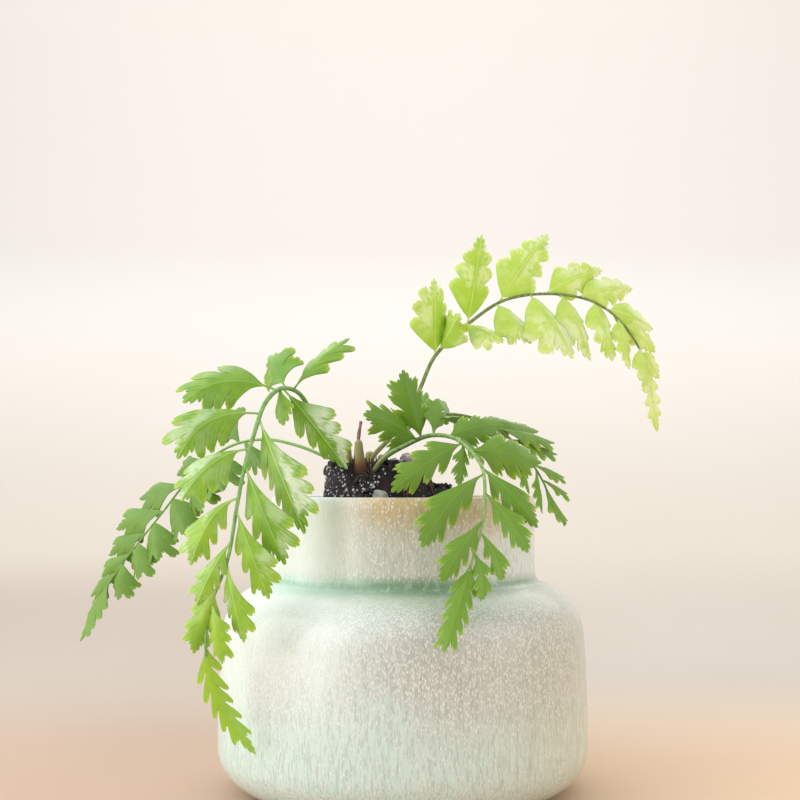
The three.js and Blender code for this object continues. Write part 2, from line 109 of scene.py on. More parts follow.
class Finish:
    """A material, and the ways to paint it. Its colour is what coats are laid on."""

    def __init__(self, name, constants=None):
        self.material = bpy.data.materials.new(name)
        self.material.use_nodes = True
        self.nodes = self.material.node_tree.nodes
        self.links = self.material.node_tree.links
        self.shader = self.nodes["Principled BSDF"]
        for socket, value in (constants or {}).items():
            self.shader.inputs[socket].default_value = value

    def node(self, kind, settings=None, sockets=None, output=0):
        """Adds a node, sets its settings first, then gives its sockets their values or links."""
        node = self.nodes.new(kind)
        for name, setting in (settings or {}).items():
            if name == "stops":
                ramp = node.color_ramp
                while len(ramp.elements) < len(setting):
                    ramp.elements.new(0.5)
                for element, (position, colour) in zip(ramp.elements, setting):
                    element.position = position
                    element.color = colour
            else:
                setattr(node, name, setting)
        for name, value in (sockets or {}).items():
            if isinstance(value, Value):
                self.links.new(value.socket, node.inputs[name])
            else:
                node.inputs[name].default_value = value
        return Value(self, node.outputs[output])

    def place(self, scale=(1, 1, 1)):
        """The point on the piece, with each axis scaled."""
        coordinates = self.node("ShaderNodeTexCoord", output=3)
        return self.node("ShaderNodeMapping", {}, {"Vector": coordinates, "Scale": scale})

    def axis(self, name):
        """One of the point's coordinates."""
        split = {"Vector": self.place()}
        return self.node("ShaderNodeSeparateXYZ", {}, split, output="XYZ".index(name))

    def attribute(self, name):
        return self.node("ShaderNodeAttribute", {"attribute_name": name}, output=2)

    def noise(self, place, scale, detail=2.0, roughness=0.5):
        sockets = {"Vector": place, "Scale": scale, "Detail": detail, "Roughness": roughness}
        return self.node("ShaderNodeTexNoise", {}, sockets)

    def cells(self, place, scale):
        """The distance to the nearest cell's middle, and a random number for that cell."""
        near = self.node("ShaderNodeTexVoronoi", {}, {"Vector": place, "Scale": scale})
        colour = Value(self, near.socket.node.outputs[1])
        return near, self.node("ShaderNodeSeparateColor", {}, {0: colour})

    def mask(self, value, low, high):
        """Rises smoothly from 0 to 1 as the value goes from low to high."""
        sockets = {"Value": value, "From Min": low, "From Max": high}
        return self.node("ShaderNodeMapRange", {"interpolation_type": "SMOOTHSTEP"}, sockets)

    def blend(self, share, first, second):
        """A colour between two others, each a hex code or a value."""
        first, second = (tint(colour) if isinstance(colour, str) else colour for colour in (first, second))
        return self.node("ShaderNodeMix", {"data_type": "RGBA"}, {0: share, 6: first, 7: second}, output=2)

    def ramp(self, value, *stops):
        stops = [(position, tint(code)) for position, code in stops]
        return self.node("ShaderNodeValToRGB", {"stops": stops}, {"Fac": value})

    def coat(self, share, colour):
        """Lays a share of a colour over what is there."""
        self.colour = self.blend(share, self.colour, colour)

    def done(self, roughness, height=None, distance=0.0):
        """Links the colour and roughness. A height of 0 to 1 is raised by a distance in metres."""
        self.links.new(self.colour.socket, self.shader.inputs["Base Color"])
        self.links.new(roughness.socket, self.shader.inputs["Roughness"])
        if height is not None:
            bump = self.node("ShaderNodeBump", {}, {"Height": height, "Distance": distance})
            self.links.new(bump.socket, self.shader.inputs["Normal"])
        return self.material


# Where the glaze changes, in metres up the pot
GROOVE = (0.0735, 0.0765, 0.0782, 0.0825)
CREASE = (0.0762, 0.0772, 0.078, 0.0792)
SHOULDER = (0.064, 0.0745, 0.0785, 0.0815)
CLEAR = (0.0705, 0.0745, 0.0785, 0.0815)
NECK = (0.077, 0.082)
RIM_TAN = (0.089, 0.107)
FOOT_BARE = (0.0009, 0.0002)


def glaze_finish():
    """A glossy celadon glaze: cream flecks that ran down, green in the groove, tan at the rim, and window
    light painted paler on its left.
    """
    finish = Finish("celadon_glaze", {"Coat Weight": 0.4, "Coat Roughness": 0.13})
    mask = finish.mask
    coat = finish.coat
    across = finish.axis("X")
    height = finish.axis("Z")
    broad = finish.noise(finish.place((1, 1, 0.6)), 16, 2)
    cloud = finish.noise(finish.place((1, 1, 0.7)), 42, 3)
    streak = finish.noise(finish.place((1, 1, 0.05)), 620, 3, 0.6)
    fine = finish.noise(finish.place((1, 1, 0.16)), 1500, 2, 0.6)
    sway = broad - 0.5
    drift = cloud - 0.5
    middle = mask(across + 0.03 * sway, -0.04, -0.012)
    right = mask(across, 0.012, 0.042)

    def band(lower, low, high, upper, wander=0.0):
        """A belt round the pot with soft edges."""
        return mask(height + wander * drift, lower, low) * mask(height, upper, high)

    finish.colour = finish.ramp(broad + 0.35 * drift, (0.3, "d6eae4"), (0.45, "d4e2dc"), (0.6, "cbd2cc"))
    coat(mask(height + 0.03 * sway, 0.05, 0.022), finish.ramp(cloud, (0.3, "d2eae2"), (0.7, "d2e4da")))
    coat(0.55 * mask(across + 0.02 * sway, 0.012, 0.06), "cfccb0")
    coat(0.4 * mask(height + 0.02 * drift, 0.03, 0.052) * middle, "bcb9aa")
    neck = finish.ramp(cloud + 0.4 * (streak - 0.5), (0.25, "e2ede8"), (0.55, "e4e8e2"), (0.8, "cfd0c6"))
    neck = finish.blend(0.4 * middle * mask(across, 0.04, 0.015), neck, "a9a888")
    coat(mask(height, *NECK), neck)
    tan = mask(height + 0.016 * drift + 0.006 * (streak - 0.5), *RIM_TAN)
    coat(0.8 * tan * (0.12 + 0.88 * middle), "cbae62")
    coat(0.5 * band(*SHOULDER, 0.012) * (0.35 + 0.65 * middle) * (1 - 0.6 * right), "a9c6a0")
    pool = band(*GROOVE, 0.003) * (1 - 0.72 * right)
    coat(0.78 * pool, finish.blend(mask(across, -0.035, 0.0), "b2dfc6", "5f8c5c"))
    coat(0.35 * band(*CREASE), "4f8a62")
    coat(0.35 * mask(streak, 0.5, 0.72), "e6e8dd")
    coat(0.22 * mask(streak, 0.48, 0.3), "8b937f")
    clear = 1 - 0.94 * band(*CLEAR, 0.004)
    coat(0.3 * clear * mask(fine, 0.52, 0.4), "939688")
    # Painted light: the glaze's left side, where the window lamp shines, is painted paler, more so at the
    # neck, but not in the green pool.
    painted_light_left = mask(across + 0.02 * sway, -0.006, -0.034) * mask(height, 0.02, 0.06) * (1 - 0.7 * pool)
    coat((0.5 + 0.22 * mask(height, 0.081, 0.085)) * painted_light_left, "eef7f0")
    dense = 0.2 + 0.5 * mask(height, 0.025, 0.05) + 0.6 * drift
    dense = dense - 0.3 * mask(height, 0.08, 0.086) + 0.2 * mask(height, 0.02, 0.006)
    flecks = 0.0
    for stretch, scale, size in ((0.4, 1400, 0.42), (0.5, 1050, 0.34), (0.34, 1800, 0.45)):
        near, chance = finish.cells(finish.place((1, 1, stretch)), scale)
        flecks = mask(near, size, 0.5 * size) * mask(chance, 1 - dense, 1.1 - dense) + flecks
    flecks = mask(flecks, 0.0, 1.0) * clear
    coat(0.7 * flecks, "f4f4ee")
    bare = mask(height, *FOOT_BARE)
    coat(bare, "b79b7c")
    relief = 0.6 * flecks + 0.4 * finish.noise(finish.place(), 180, 2)
    return finish.done(0.27 + 0.1 * cloud + 0.08 * flecks + 0.5 * bare, relief, 0.00008)


def leaf_finish(
    name, shades, tip, vein, under, rib_share=0.08, gloss=0.34, sheen_tint="e2f0d8", glow=0.3, vein_sheen=0.2
):
    """A fern blade with forked veins, one into each tooth, and a painted whitish sheen: light reflected off
    its gloss, painted as colour.

    The shades are a young leaflet's, an old one's and its hem's.
    """
    young, aged, edge = shades
    flesh = {"Subsurface Weight": glow, "Subsurface Scale": 0.0015, "Subsurface Radius": (0.8, 1.0, 0.4)}
    finish = Finish(name, flesh)
    mask = finish.mask
    coat = finish.coat
    names = ("tooth", "spread", "rib", "bloom", "ripe", "along", "tone", "under")
    tooth, spread, rib, bloom, ripe, along, tone, below = (finish.attribute(mark) for mark in names)
    place = finish.place()
    mottle = finish.noise(place, 170, 3)
    grain = finish.noise(place, 2600, 2)
    sway = mottle - 0.5
    phase = tooth.maths("FRACT", tooth)
    away = phase.maths("ABSOLUTE", phase - 0.5)
    line = mask(away, 0.16, 0.03) * mask(spread, 0.2, 0.5) * mask(spread, 0.96, 0.75)
    midrib = mask(rib, 0.28, 0.1)
    finish.colour = finish.blend(mask(tone + 0.7 * sway, 0.1, 0.9), young, aged)
    coat(0.75 * mask(ripe + 0.3 * sway, 0.78, 1.1), tip)
    streaks = finish.noise(finish.node("ShaderNodeCombineXYZ", {}, {"X": tooth, "Y": 7 * along}), 2.6, 3, 0.6)
    # Painted sheen: whitish streaks that stand in for light reflected off the blade's gloss, painted as
    # colour, kept off the stalk and the teeth's tips.
    sheen_patch = finish.noise(place, 95, 2) + 0.5 * (streaks - 0.5) + 0.2 * (bloom - 0.5)
    sheen_patch = mask(sheen_patch, 0.42, 0.62) * bloom * mask(along, 0.2, 0.5) * mask(spread, 0.05, 0.3)
    sheen_patch = sheen_patch * mask(ripe, 1.0, 0.7)
    coat(0.8 * sheen_patch, sheen_tint)
    # The veins and midrib are paler in their own colour; where the painted sheen is set they also carry
    # painted glints of reflected light.
    coat((0.08 + vein_sheen * bloom) * line, vein)
    coat((rib_share + 0.6 * bloom) * midrib, vein)
    coat(0.6 * mask(tooth, 0.02, 0.0) * mask(spread, 0.88, 0.97), edge)
    coat(0.5 * below, under)
    furrow = 0.5 * (1 - 0.2 * line) * (1 - midrib) + 0.15 * mottle + 0.05 * grain
    return finish.done(gloss + 0.16 * sway + 0.06 * grain, furrow, 0.0002)


def stem_finish(name, fresh, deep, root):
    """A green stalk, browner towards its root."""
    finish = Finish(name, {"Subsurface Weight": 0.1, "Subsurface Scale": 0.0008})
    streaks = finish.noise(finish.place((1, 1, 0.35)), 900, 3)
    along = finish.attribute("spread")
    finish.colour = finish.blend(finish.mask(streaks, 0.35, 0.65), deep, fresh)
    finish.coat(0.8 * finish.mask(along + 0.1 * (streaks - 0.5), 0.13, 0.03), root)
    return finish.done(0.42 + 0.2 * (streaks - 0.5), streaks, 0.0001)


def mix_finish():
    """Dark damp potting mix: black peat, brown bark dust and pale specks."""
    finish = Finish("potting_mix")
    place = finish.place()
    lumps = finish.noise(place, 190, 4, 0.65)
    dust = finish.noise(place, 1500, 3, 0.7)
    shades = ((0.3, "18161d"), (0.52, "2a242a"), (0.66, "40302c"), (0.82, "5f4638"))
    finish.colour = finish.ramp(lumps + 0.3 * (dust - 0.5), *shades)
    near, chance = finish.cells(place, 1300)
    finish.coat(finish.mask(near, 0.34, 0.2) * finish.mask(chance, 0.88, 0.91), "d5d0d6")
    return finish.done(0.75 + 0.2 * dust, 0.6 * dust + 0.4 * lumps, 0.0008)


def bark_finish(name, light, middle, dark):
    """Layered bark, paler where it broke."""
    finish = Finish(name)
    layers = finish.noise(finish.place((1, 0.45, 2.6)), 420, 4, 0.6)
    patches = finish.noise(finish.place(), 140, 2)
    finish.colour = finish.ramp(layers + 0.5 * (patches - 0.5), (0.3, dark), (0.5, middle), (0.72, light))
    return finish.done(0.78 + 0.18 * layers, layers, 0.0005)


def mineral_finish(name, pale, shade, stain):
    """Foamy white mineral grains with pits and a stain of soil."""
    finish = Finish(name, {"Subsurface Weight": 0.15, "Subsurface Scale": 0.0004})
    place = finish.place()
    near, chance = finish.cells(place, 2600)
    dirt = finish.noise(place, 260, 3)
    finish.colour = finish.blend(finish.mask(near, 0.5, 0.2), pale, shade)
    finish.coat(0.7 * finish.mask(dirt, 0.52, 0.72), stain)
    return finish.done(0.8 + 0.15 * chance, near, 0.0003)


def crown_finish():
    """Fleshy old leaf bases, olive above and brown below, with dry dark scale down their flanks."""
    finish = Finish("crown_bases", {"Subsurface Weight": 0.15, "Subsurface Scale": 0.001})
    ridges = finish.noise(finish.place((1, 1, 0.3)), 520, 4, 0.6)
    height = finish.axis("Z") + 0.004 * (ridges - 0.5)
    shades = ((0.0, "4a3026"), (0.3, "8a5e4a"), (0.55, "a8a066"), (0.85, "b4ae74"))
    finish.colour = finish.ramp(finish.mask(height, 0.112, 0.132), *shades)
    finish.coat(0.4 * finish.mask(ridges, 0.55, 0.72), "4a3b2c")
    finish.coat(0.9 * finish.mask(finish.attribute("rib") + 0.5 * (ridges - 0.5), 0.8, 0.98), "2c2019")
    return finish.done(0.6 + 0.25 * ridges, ridges, 0.0004)


def wall_finish():
    """The studio's backdrop: a pale beige floor that turns into a paler wall."""
    finish = Finish("pale_paper", {"Specular IOR Level": 0.0})
    across, deep, height = (finish.axis(name) for name in "XYZ")
    grain = finish.noise(finish.place(), 6, 2)
    # Painted shade: the floor is painted darker towards the left, offsetting the window lamp's light that
    # falls there.
    side = finish.mask(across, -0.15, 0.2)
    near = finish.blend(side, "c2a792", "e8caaa")
    far = finish.blend(side, "c2b6a9", "ccc2b6")
    finish.colour = finish.blend(finish.mask(deep, 0.0, 0.3), near, far)
    wall = finish.blend(finish.mask(height, 0.02, 0.4), "d6ccbf", "f6f2ec")
    finish.coat(finish.mask(height, 0.0, 0.05), wall)
    finish.coat(0.06 * grain, "ffffff")
    return finish.done(0.9 + 0.05 * grain)


# Modelling


def started(name, add, **shape):
    """A piece begun from a primitive, with nothing else selected."""
    bpy.ops.object.select_all(action="DESELECT")
    add(**shape)
    piece = bpy.context.object
    piece.name = name
    piece.data.name = name
    return piece


def open_up():
    """Goes to edit mode with all of the piece selected."""
    bpy.ops.object.mode_set(mode="EDIT")
    bpy.ops.mesh.select_all(action="SELECT")


def close_shell():
    """Turns all faces outwards and leaves edit mode."""
    bpy.ops.mesh.select_all(action="SELECT")
    bpy.ops.mesh.normals_make_consistent(inside=False)
    bpy.ops.object.mode_set(mode="OBJECT")


def draw_through(outline):
    """Extrudes the selected ring, which is at a profile's first (radius, height), through the others."""
    for (radius, height), (next_radius, next_height) in zip(outline, outline[1:]):
        move = {"value": (0, 0, (next_height - height) * MM)}
        bpy.ops.mesh.extrude_region_move(TRANSFORM_OT_translate=move)
        grow = next_radius / radius
        bpy.ops.transform.resize(value=(grow, grow, 1), center_override=(0, 0, next_height * MM))


def pick(piece, wanted):
    """In edit mode, selects the vertices that a test on their places keeps, and what lies between them."""
    mesh = bmesh.from_edit_mesh(piece.data)
    for vertex in mesh.verts:
        vertex.select_set(False)
    for vertex in mesh.verts:
        if wanted(vertex.co):
            vertex.select_set(True)
    mesh.select_flush(True)
    bmesh.update_edit_mesh(piece.data)


def smooth(piece, angle):
    bpy.ops.object.select_all(action="DESELECT")
    piece.select_set(True)
    bpy.context.view_layer.objects.active = piece
    bpy.ops.object.shade_smooth_by_angle(angle=math.radians(angle))


def piece_of(name, points, faces, materials, kinds=None):
    """A piece from points in millimetres and its faces."""
    mesh = bpy.data.meshes.new(name)
    mesh.from_pydata((np.asarray(points) * MM).tolist(), [], faces)
    for material in materials:
        mesh.materials.append(material)
    if kinds is not None:
        mesh.polygons.foreach_set("material_index", kinds)
    piece = bpy.data.objects.new(name, mesh)
    bpy.context.scene.collection.objects.link(piece)
    return piece


def bezier(start, *controls):
    """Points of a cubic curve in a profile, without its start."""
    first, second, end = controls
    points = []
    for step in range(1, 13):
        t = step / 12
        weights = ((1 - t) ** 3, 3 * t * (1 - t) ** 2, 3 * t * t * (1 - t), t**3)
        corners = (start, first, second, end)
        points.append(tuple(sum(w * c[axis] for w, c in zip(weights, corners)) for axis in (0, 1)))
    return points


# The pot

BODY_RADIUS = 68.4
NECK_RADIUS = 49.3
FOOT_RADIUS = 47
FOOT_RING = 4.5
FOOT_HOLLOW = 1.2
POT_HEIGHT = 108
POT_SIDES = 144


def pot_outline():
    """The pot's profile from the foot up to the rim and down inside, as (radius, height)."""
    points = [(FOOT_RADIUS, 0)]
    points += bezier(points[-1], (58, 0), (BODY_RADIUS, 6.5), (BODY_RADIUS, 17))
    points += bezier(points[-1], (BODY_RADIUS, 34), (67.9, 50), (66.9, 60))
    points += bezier(points[-1], (65.4, 69), (59, 73.8), (52, 76))
    points += bezier(points[-1], (50.4, 76.6), (49.5, 77.8), (NECK_RADIUS, 80.5))
    points += [(NECK_RADIUS, 85), (NECK_RADIUS, 90), (NECK_RADIUS, 96), (NECK_RADIUS, 101)]
    points += bezier(points[-1], (49.8, 106), (49.2, 108), (47.4, POT_HEIGHT))
    points += bezier(points[-1], (45.9, 108), (45.3, 107), (45.3, 104))
    points += [(45.3, 98), (45.3, 90), (45.3, 82), (45.5, 76)]
    points += bezier(points[-1], (46, 72), (58, 69), (61, 60))
    points += bezier(points[-1], (63, 50), (64.4, 34), (64.4, 20))
    points += bezier(points[-1], (64.4, 11), (56, 6), (44, 6))
    return points


def make_pot(finish):
    """A ring drawn up along the wall, over the rim and down to the inner floor, with a foot ring below."""
    ring = {"vertices": POT_SIDES, "radius": FOOT_RADIUS * MM, "fill_type": "NOTHING"}
    pot = started("jar_pot", bpy.ops.mesh.primitive_circle_add, **ring)
    open_up()
    draw_through(pot_outline())
    bpy.ops.mesh.edge_face_add()
    pick(pot, lambda co: abs(co.z) < 1e-6 and abs(co.xy.length - FOOT_RADIUS * MM) < 1e-5)
    bpy.ops.mesh.edge_face_add()
    bpy.ops.mesh.inset(thickness=FOOT_RING * MM)
    bpy.ops.mesh.inset(thickness=FOOT_HOLLOW * MM)
    bpy.ops.transform.translate(value=(0, 0, FOOT_HOLLOW * MM))
    close_shell()
    pot.data.materials.append(finish)
    smooth(pot, 35)
    return pot


# The mix

# Each clod's middle, radius, height, and how flat its top is
CLODS = (
    (-11.5, 4, 18, 19.5, 0.93),
    (-22, 1, 7.5, 21, 0.3),
    (2, 0, 13, 17, 0.5),
    (12, 2, 15, 10, 0.3),
    (-13, -16, 10, 11, 0.3),
    (-5, 19, 14, 14, 0.3),
    (23, 11, 11, 5, 0.3),
    (27, -18, 9, 3, 0.2),
    (-8, 34, 9, 3, 0.2),
    (-36, -10, 8, 2.5, 0.2),
)
# The low place in front of the crown: its middle, radius and depth
HOLLOW = (-13.5, -11.5, 11.5, 5.5)
ROOT_BALL = (-12, -2)
SOIL_LEVEL = 101
MOUTH = 44.95
SOIL_SIDES = 240
SOIL_RINGS = 84
# The mass below, as (radius, height)
BELOW = ((45, 78), (45.3, 75.2), (49.5, 70), (59.5, 62), (63, 50), (64, 20), (57, 10.5), (43.5, 6.4))


def step(value, low, high):
    """Rises smoothly from 0 to 1 as the value goes from low to high."""
    share = min(1.0, max(0.0, (value - low) / (high - low)))
    return share * share * (3 - 2 * share)


def ground(x, y):
    """The mix's height in millimetres: clods round the crown, with lumps and crumbs on them."""
    height = 0.0
    for at_x, at_y, radius, rise, flat in CLODS:
        away = math.hypot(x - at_x, y - at_y) / radius
        height = max(height, rise * (1 - step(away, flat, 1.12)))
    at_x, at_y, radius, drop = HOLLOW
    height = max(0.0, height - drop * (1 - step(math.hypot(x - at_x, y - at_y) / radius, 0.45, 1)))
    lumps = noise.fractal((x * 0.16, y * 0.16, 3.1), 1.0, 2.0, 3)
    crumbs = noise.noise((x * 0.9, y * 0.9, 7.7)) + 0.6 * noise.noise((x * 1.9, y * 1.9, 1.3))
    edge = 1 - step(math.hypot(x, y), MOUTH - 5, MOUTH)
    return SOIL_LEVEL + height + (1.3 * lumps + 0.75 * crumbs) * (0.35 + 0.65 * edge)


def make_mix(finish):
    """A disc of mix with clods pushed up in it, and the mass below that fills the pot."""
    level = SOIL_LEVEL * MM
    edge = {"vertices": SOIL_SIDES, "radius": MOUTH * MM, "location": (0, 0, level), "fill_type": "NOTHING"}
    mix = started("potting_mix", bpy.ops.mesh.primitive_circle_add, **edge)
    bpy.ops.object.transform_apply(location=True)
    open_up()
    for ring in range(SOIL_RINGS - 1):
        shrink = (SOIL_RINGS - 1 - ring) / (SOIL_RINGS - ring)
        bpy.ops.mesh.extrude_region_move()
        bpy.ops.transform.resize(value=(shrink, shrink, 1), center_override=(0, 0, level))
    bpy.ops.mesh.extrude_region_move()
    bpy.ops.mesh.merge(type="CENTER")
    pick(mix, lambda co: co.xy.length > (MOUTH - 0.05) * MM)
    draw_through([(MOUTH, SOIL_LEVEL), *BELOW])
    bpy.ops.mesh.edge_face_add()
    close_shell()
    for vertex in mix.data.vertices:
        if abs(vertex.co.z - level) < 1e-5:
            vertex.co.z = ground(vertex.co.x / MM, vertex.co.y / MM) * MM
    mix.data.materials.append(finish)
    smooth(mix, 60)
    return mix


def grain_shape(name, seed):
    """An irregular rounded grain about 1 across."""
    grain = started(name, bpy.ops.mesh.primitive_ico_sphere_add, subdivisions=2, radius=0.5)
    open_up()
    bpy.ops.transform.vertex_random(offset=0.16, seed=seed)
    bpy.ops.mesh.vertices_smooth(factor=0.25)
    bpy.ops.object.mode_set(mode="OBJECT")
    return grain


def chip_shape(name, seed):
    """A broken flake of bark, 1 by 1 by 1, with ragged edges."""
    chip = started(name, bpy.ops.mesh.primitive_cube_add, size=1)
    open_up()
    bpy.ops.mesh.subdivide(number_cuts=1, fractal=0.5, seed=seed)
    bpy.ops.transform.vertex_random(offset=0.13, seed=seed + 5)
    pick(chip, lambda co: co.x > 0.3)
    bpy.ops.transform.resize(value=(1, 0.6, 0.75), center_override=(0.5, 0, 0))
    bpy.ops.object.mode_set(mode="OBJECT")
    return chip


def scattered(name, shapes, places, finish):
    """Copies of a few shapes, joined in one piece. A place is a centre, a size and a turn."""
    joined = bmesh.new()
    for i, (centre, size, turn) in enumerate(places):
        copy = shapes[i % len(shapes)].data.copy()
        stand = Matrix.Translation(Vector(centre) * MM) @ Euler(turn).to_matrix().to_4x4()
        copy.transform(stand @ Matrix.Diagonal((*(Vector(size) * MM), 1)))
        joined.from_mesh(copy)
        bpy.data.meshes.remove(copy)
    mesh = bpy.data.meshes.new(name)
    joined.to_mesh(mesh)
    joined.free()
    mesh.materials.append(finish)
    piece = bpy.data.objects.new(name, mesh)
    bpy.context.scene.collection.objects.link(piece)
    smooth(piece, 50)
    for shape in shapes:
        bpy.data.objects.remove(shape)
    return piece


def spots(count, seed, apart, inside=lambda x, y: True):
    """Random places on the mix that keep apart from one another and from the crown."""
    draw = random.Random(seed)
    chosen = []
    for _ in range(60 * count):
        if len(chosen) == count:
            break
        radius = (MOUTH - 2.5) * math.sqrt(draw.random())
        turn = draw.uniform(0, 2 * math.pi)
        x = radius * math.cos(turn)
        y = radius * math.sin(turn)
        clear = math.hypot(x - CROWN[0], y - CROWN[1]) > CROWN_RADIUS
        if clear and inside(x, y) and all(math.hypot(x - a, y - b) > apart for a, b in chosen):
            chosen.append((x, y))
    return chosen, draw


def slope(x, y):
    """How far the mix leans at a point, as turns about X and Y."""
    across = (ground(x + 1.5, y) - ground(x - 1.5, y)) / 3
    deep = (ground(x, y + 1.5) - ground(x, y - 1.5)) / 3
    return math.atan(deep), -math.atan(across)


def make_crumbs(finish):
    """Small bits of bark lying all over the mix."""
    shapes = [chip_shape(f"crumb_{seed}", seed) for seed in range(4)]
    chosen, draw = spots(430, 11, 1.5)
    places = []
    for x, y in chosen:
        long = draw.uniform(1.6, 4.2)
        size = (long, long * draw.uniform(0.45, 0.9), long * draw.uniform(0.25, 0.5))
        lean_x, lean_y = slope(x, y)
        turn = (lean_x + draw.uniform(-0.5, 0.5), lean_y + draw.uniform(-0.5, 0.5), draw.uniform(0, AROUND))
        places.append(((x, y, ground(x, y) + 0.12 * long), size, turn))
    return scattered("bark_crumbs", shapes, places, finish)


def side_place(turn, height):
    """A place on the root ball's side at a height, found by coming in towards its middle."""
    for out in np.arange(34, 0, -0.25):
        x = ROOT_BALL[0] + out * math.cos(turn)
        y = ROOT_BALL[1] + out * math.sin(turn)
        if math.hypot(x, y) < MOUTH - 2 and ground(x, y) > height:
            return x, y
    return ROOT_BALL


# The largest perlite grains: their place and size
BIG_GRAINS = (
    (-3.4, -1.5, 3.2), (-0.6, -2.6, 2.4), (1.2, -1.6, 2.0), (-9.5, -14.5, 2.2), (-6, -24, 2.6), (7, -22, 2.0),
)


def make_perlite(finish):
    """White perlite grains, most of them in the root ball's near left side."""
    shapes = [grain_shape(f"grain_{seed}", seed) for seed in range(3)]
    near, draw = spots(55, 23, 1.25, lambda x, y: math.hypot(x + 20, y + 9) < 16)
    loose, _ = spots(60, 31, 3.0)
    places = []

    def grain(x, y, z, size):
        turn = tuple(draw.uniform(0, AROUND) for _ in range(3))
        sides = (size, size * draw.uniform(0.75, 1), size * draw.uniform(0.7, 1))
        places.append(((x, y, z), sides, turn))

    for x, y in near + loose:
        size = draw.uniform(0.7, 1.5) if (x, y) in near else draw.uniform(0.8, 2.0)
        grain(x, y, ground(x, y) + 0.22 * size, size)
    for _ in range(170):
        turn = draw.uniform(math.radians(165), math.radians(285))
        height = SOIL_LEVEL + 2.5 + 16 * draw.random() ** 1.5
        grain(*side_place(turn, height), height, draw.uniform(0.5, 1.35))
    for x, y, size in BIG_GRAINS:
        grain(x, y, ground(x, y) + 0.25 * size, size)
    return scattered("perlite_grains", shapes, places, finish)


# Each loose chip's node, size and turn
CHIPS = (
    ("bark_chip_front", (11, 7, 3.4), (0.35, -0.3, 0.4)),
    ("bark_chip_centre", (6.5, 5, 4.5), (0.5, 0.3, -0.5)),
    ("bark_chip_rear", (7, 6, 4.4), (0.2, 0.5, 0.9)),
    ("bark_chip_left", (9, 4.4, 2.8), (0.1, 0.2, 2.3)),
    ("bark_chip_right", (10, 6, 3.2), (0.2, 0.1, 1.2)),
    ("pumice_front", (6, 5.2, 4.6), (0.2, 0.4, 1.4)),
)


def make_chip(name, size, turn, finish, seed):
    """One loose chip where its solid lies: a block with its corners broken off and its faces roughened."""
    low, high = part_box(name)
    centre = [(a + b) / 2 for a, b in zip(low, high)]
    chip = started(name + "_broken", bpy.ops.mesh.primitive_cube_add, size=1)
    open_up()
    bpy.ops.mesh.bevel(offset=0.22, segments=2, affect="EDGES")
    bpy.ops.mesh.select_all(action="SELECT")
    bpy.ops.mesh.subdivide(number_cuts=3, smoothness=0.2, fractal=0.35, seed=seed)
    bpy.ops.transform.vertex_random(offset=0.03, seed=seed)
    bpy.ops.object.mode_set(mode="OBJECT")
    stand = Matrix.Translation(centre) @ Euler(turn, "XYZ").to_matrix().to_4x4()
    chip.data.transform(stand @ Matrix.Diagonal((*(Vector(size) * 0.97 * MM), 1)))
    chip.data.materials.append(finish)
    smooth(chip, 45)
    return chip


# Curves

SAMPLES = 40  # between two of a path's points


class Path:
    """A curve through points in millimetres, read by the share of its length."""

    def __init__(self, points):
        points = np.array(points, float)
        ends = [2 * points[0] - points[1], *points, 2 * points[-1] - points[-2]]
        dense = [points[:1]]
        for before, start, end, after in zip(ends, ends[1:], ends[2:], ends[3:]):
            gaps = [np.linalg.norm(b - a) ** 0.5 for a, b in ((before, start), (start, end), (end, after))]
            leave = (start - before) / gaps[0] - (end - before) / (gaps[0] + gaps[1])
            leave = leave + (end - start) / gaps[1]
            arrive = (end - start) / gaps[1] - (after - start) / (gaps[1] + gaps[2]) + (after - end) / gaps[2]
            leave, arrive = leave * gaps[1], arrive * gaps[1]
            t = (np.arange(1, SAMPLES + 1) / SAMPLES)[:, None]
            cubic = 2 * start - 2 * end + leave + arrive
            square = -3 * start + 3 * end - 2 * leave - arrive
            dense.append(start + t * (leave + t * (square + t * cubic)))
        self.measure(np.concatenate(dense))

    def measure(self, points):
        self.points = points
        steps = np.linalg.norm(np.diff(points, axis=0), axis=1)
        self.marks = np.concatenate([[0], np.cumsum(steps)])
        self.length = self.marks[-1]
        self.marks = self.marks / self.length

    def at(self, share):
        return np.stack([np.interp(share, self.marks, self.points[:, i]) for i in range(3)], axis=-1)

    def heading(self, share):
        share = np.asarray(share, float)
        ahead = self.at(np.minimum(1, share + 0.004)) - self.at(np.maximum(0, share - 0.004))
        return ahead / np.linalg.norm(ahead, axis=-1, keepdims=True)


class Bow(Path):
    """A curve from a start to an end that passes a point midway."""

    def __init__(self, start, middle, end):
        bend = 2 * middle - 0.5 * start - 0.5 * end
        t = np.linspace(0, 1, 61)[:, None]
        self.measure((1 - t) ** 2 * start + 2 * t * (1 - t) * bend + t * t * end)


def unit(vector):
    return vector / np.linalg.norm(vector, axis=-1, keepdims=True)


class Growth:
    """Points, faces and what is painted on them, gathered for one piece."""

    def __init__(self):
        self.points = []
        self.faces = []
        self.kinds = []
        names = ("tooth", "spread", "rib", "tone", "under", "bloom", "ripe", "along")
        self.marks = {name: [] for name in names}

    def add(self, points, faces, kind, **marks):
        start = sum(len(block) for block in self.points)
        self.points.append(points)
        self.faces += [tuple(start + corner for corner in face) for face in faces]
        self.kinds += [kind] * len(faces)
        for name, values in self.marks.items():
            values.append(np.broadcast_to(np.asarray(marks.get(name, 0.0), float), len(points)))

    def piece(self, name, materials):
        points = np.clip(np.concatenate(self.points), *(np.array(cad_box) / MM))
        piece = piece_of(name, points, self.faces, materials, self.kinds)
        for mark, values in self.marks.items():
            layer = piece.data.attributes.new(mark, "FLOAT", "POINT")
            layer.data.foreach_set("value", np.concatenate(values).astype(np.float32))
        smooth(piece, 42)
        return piece


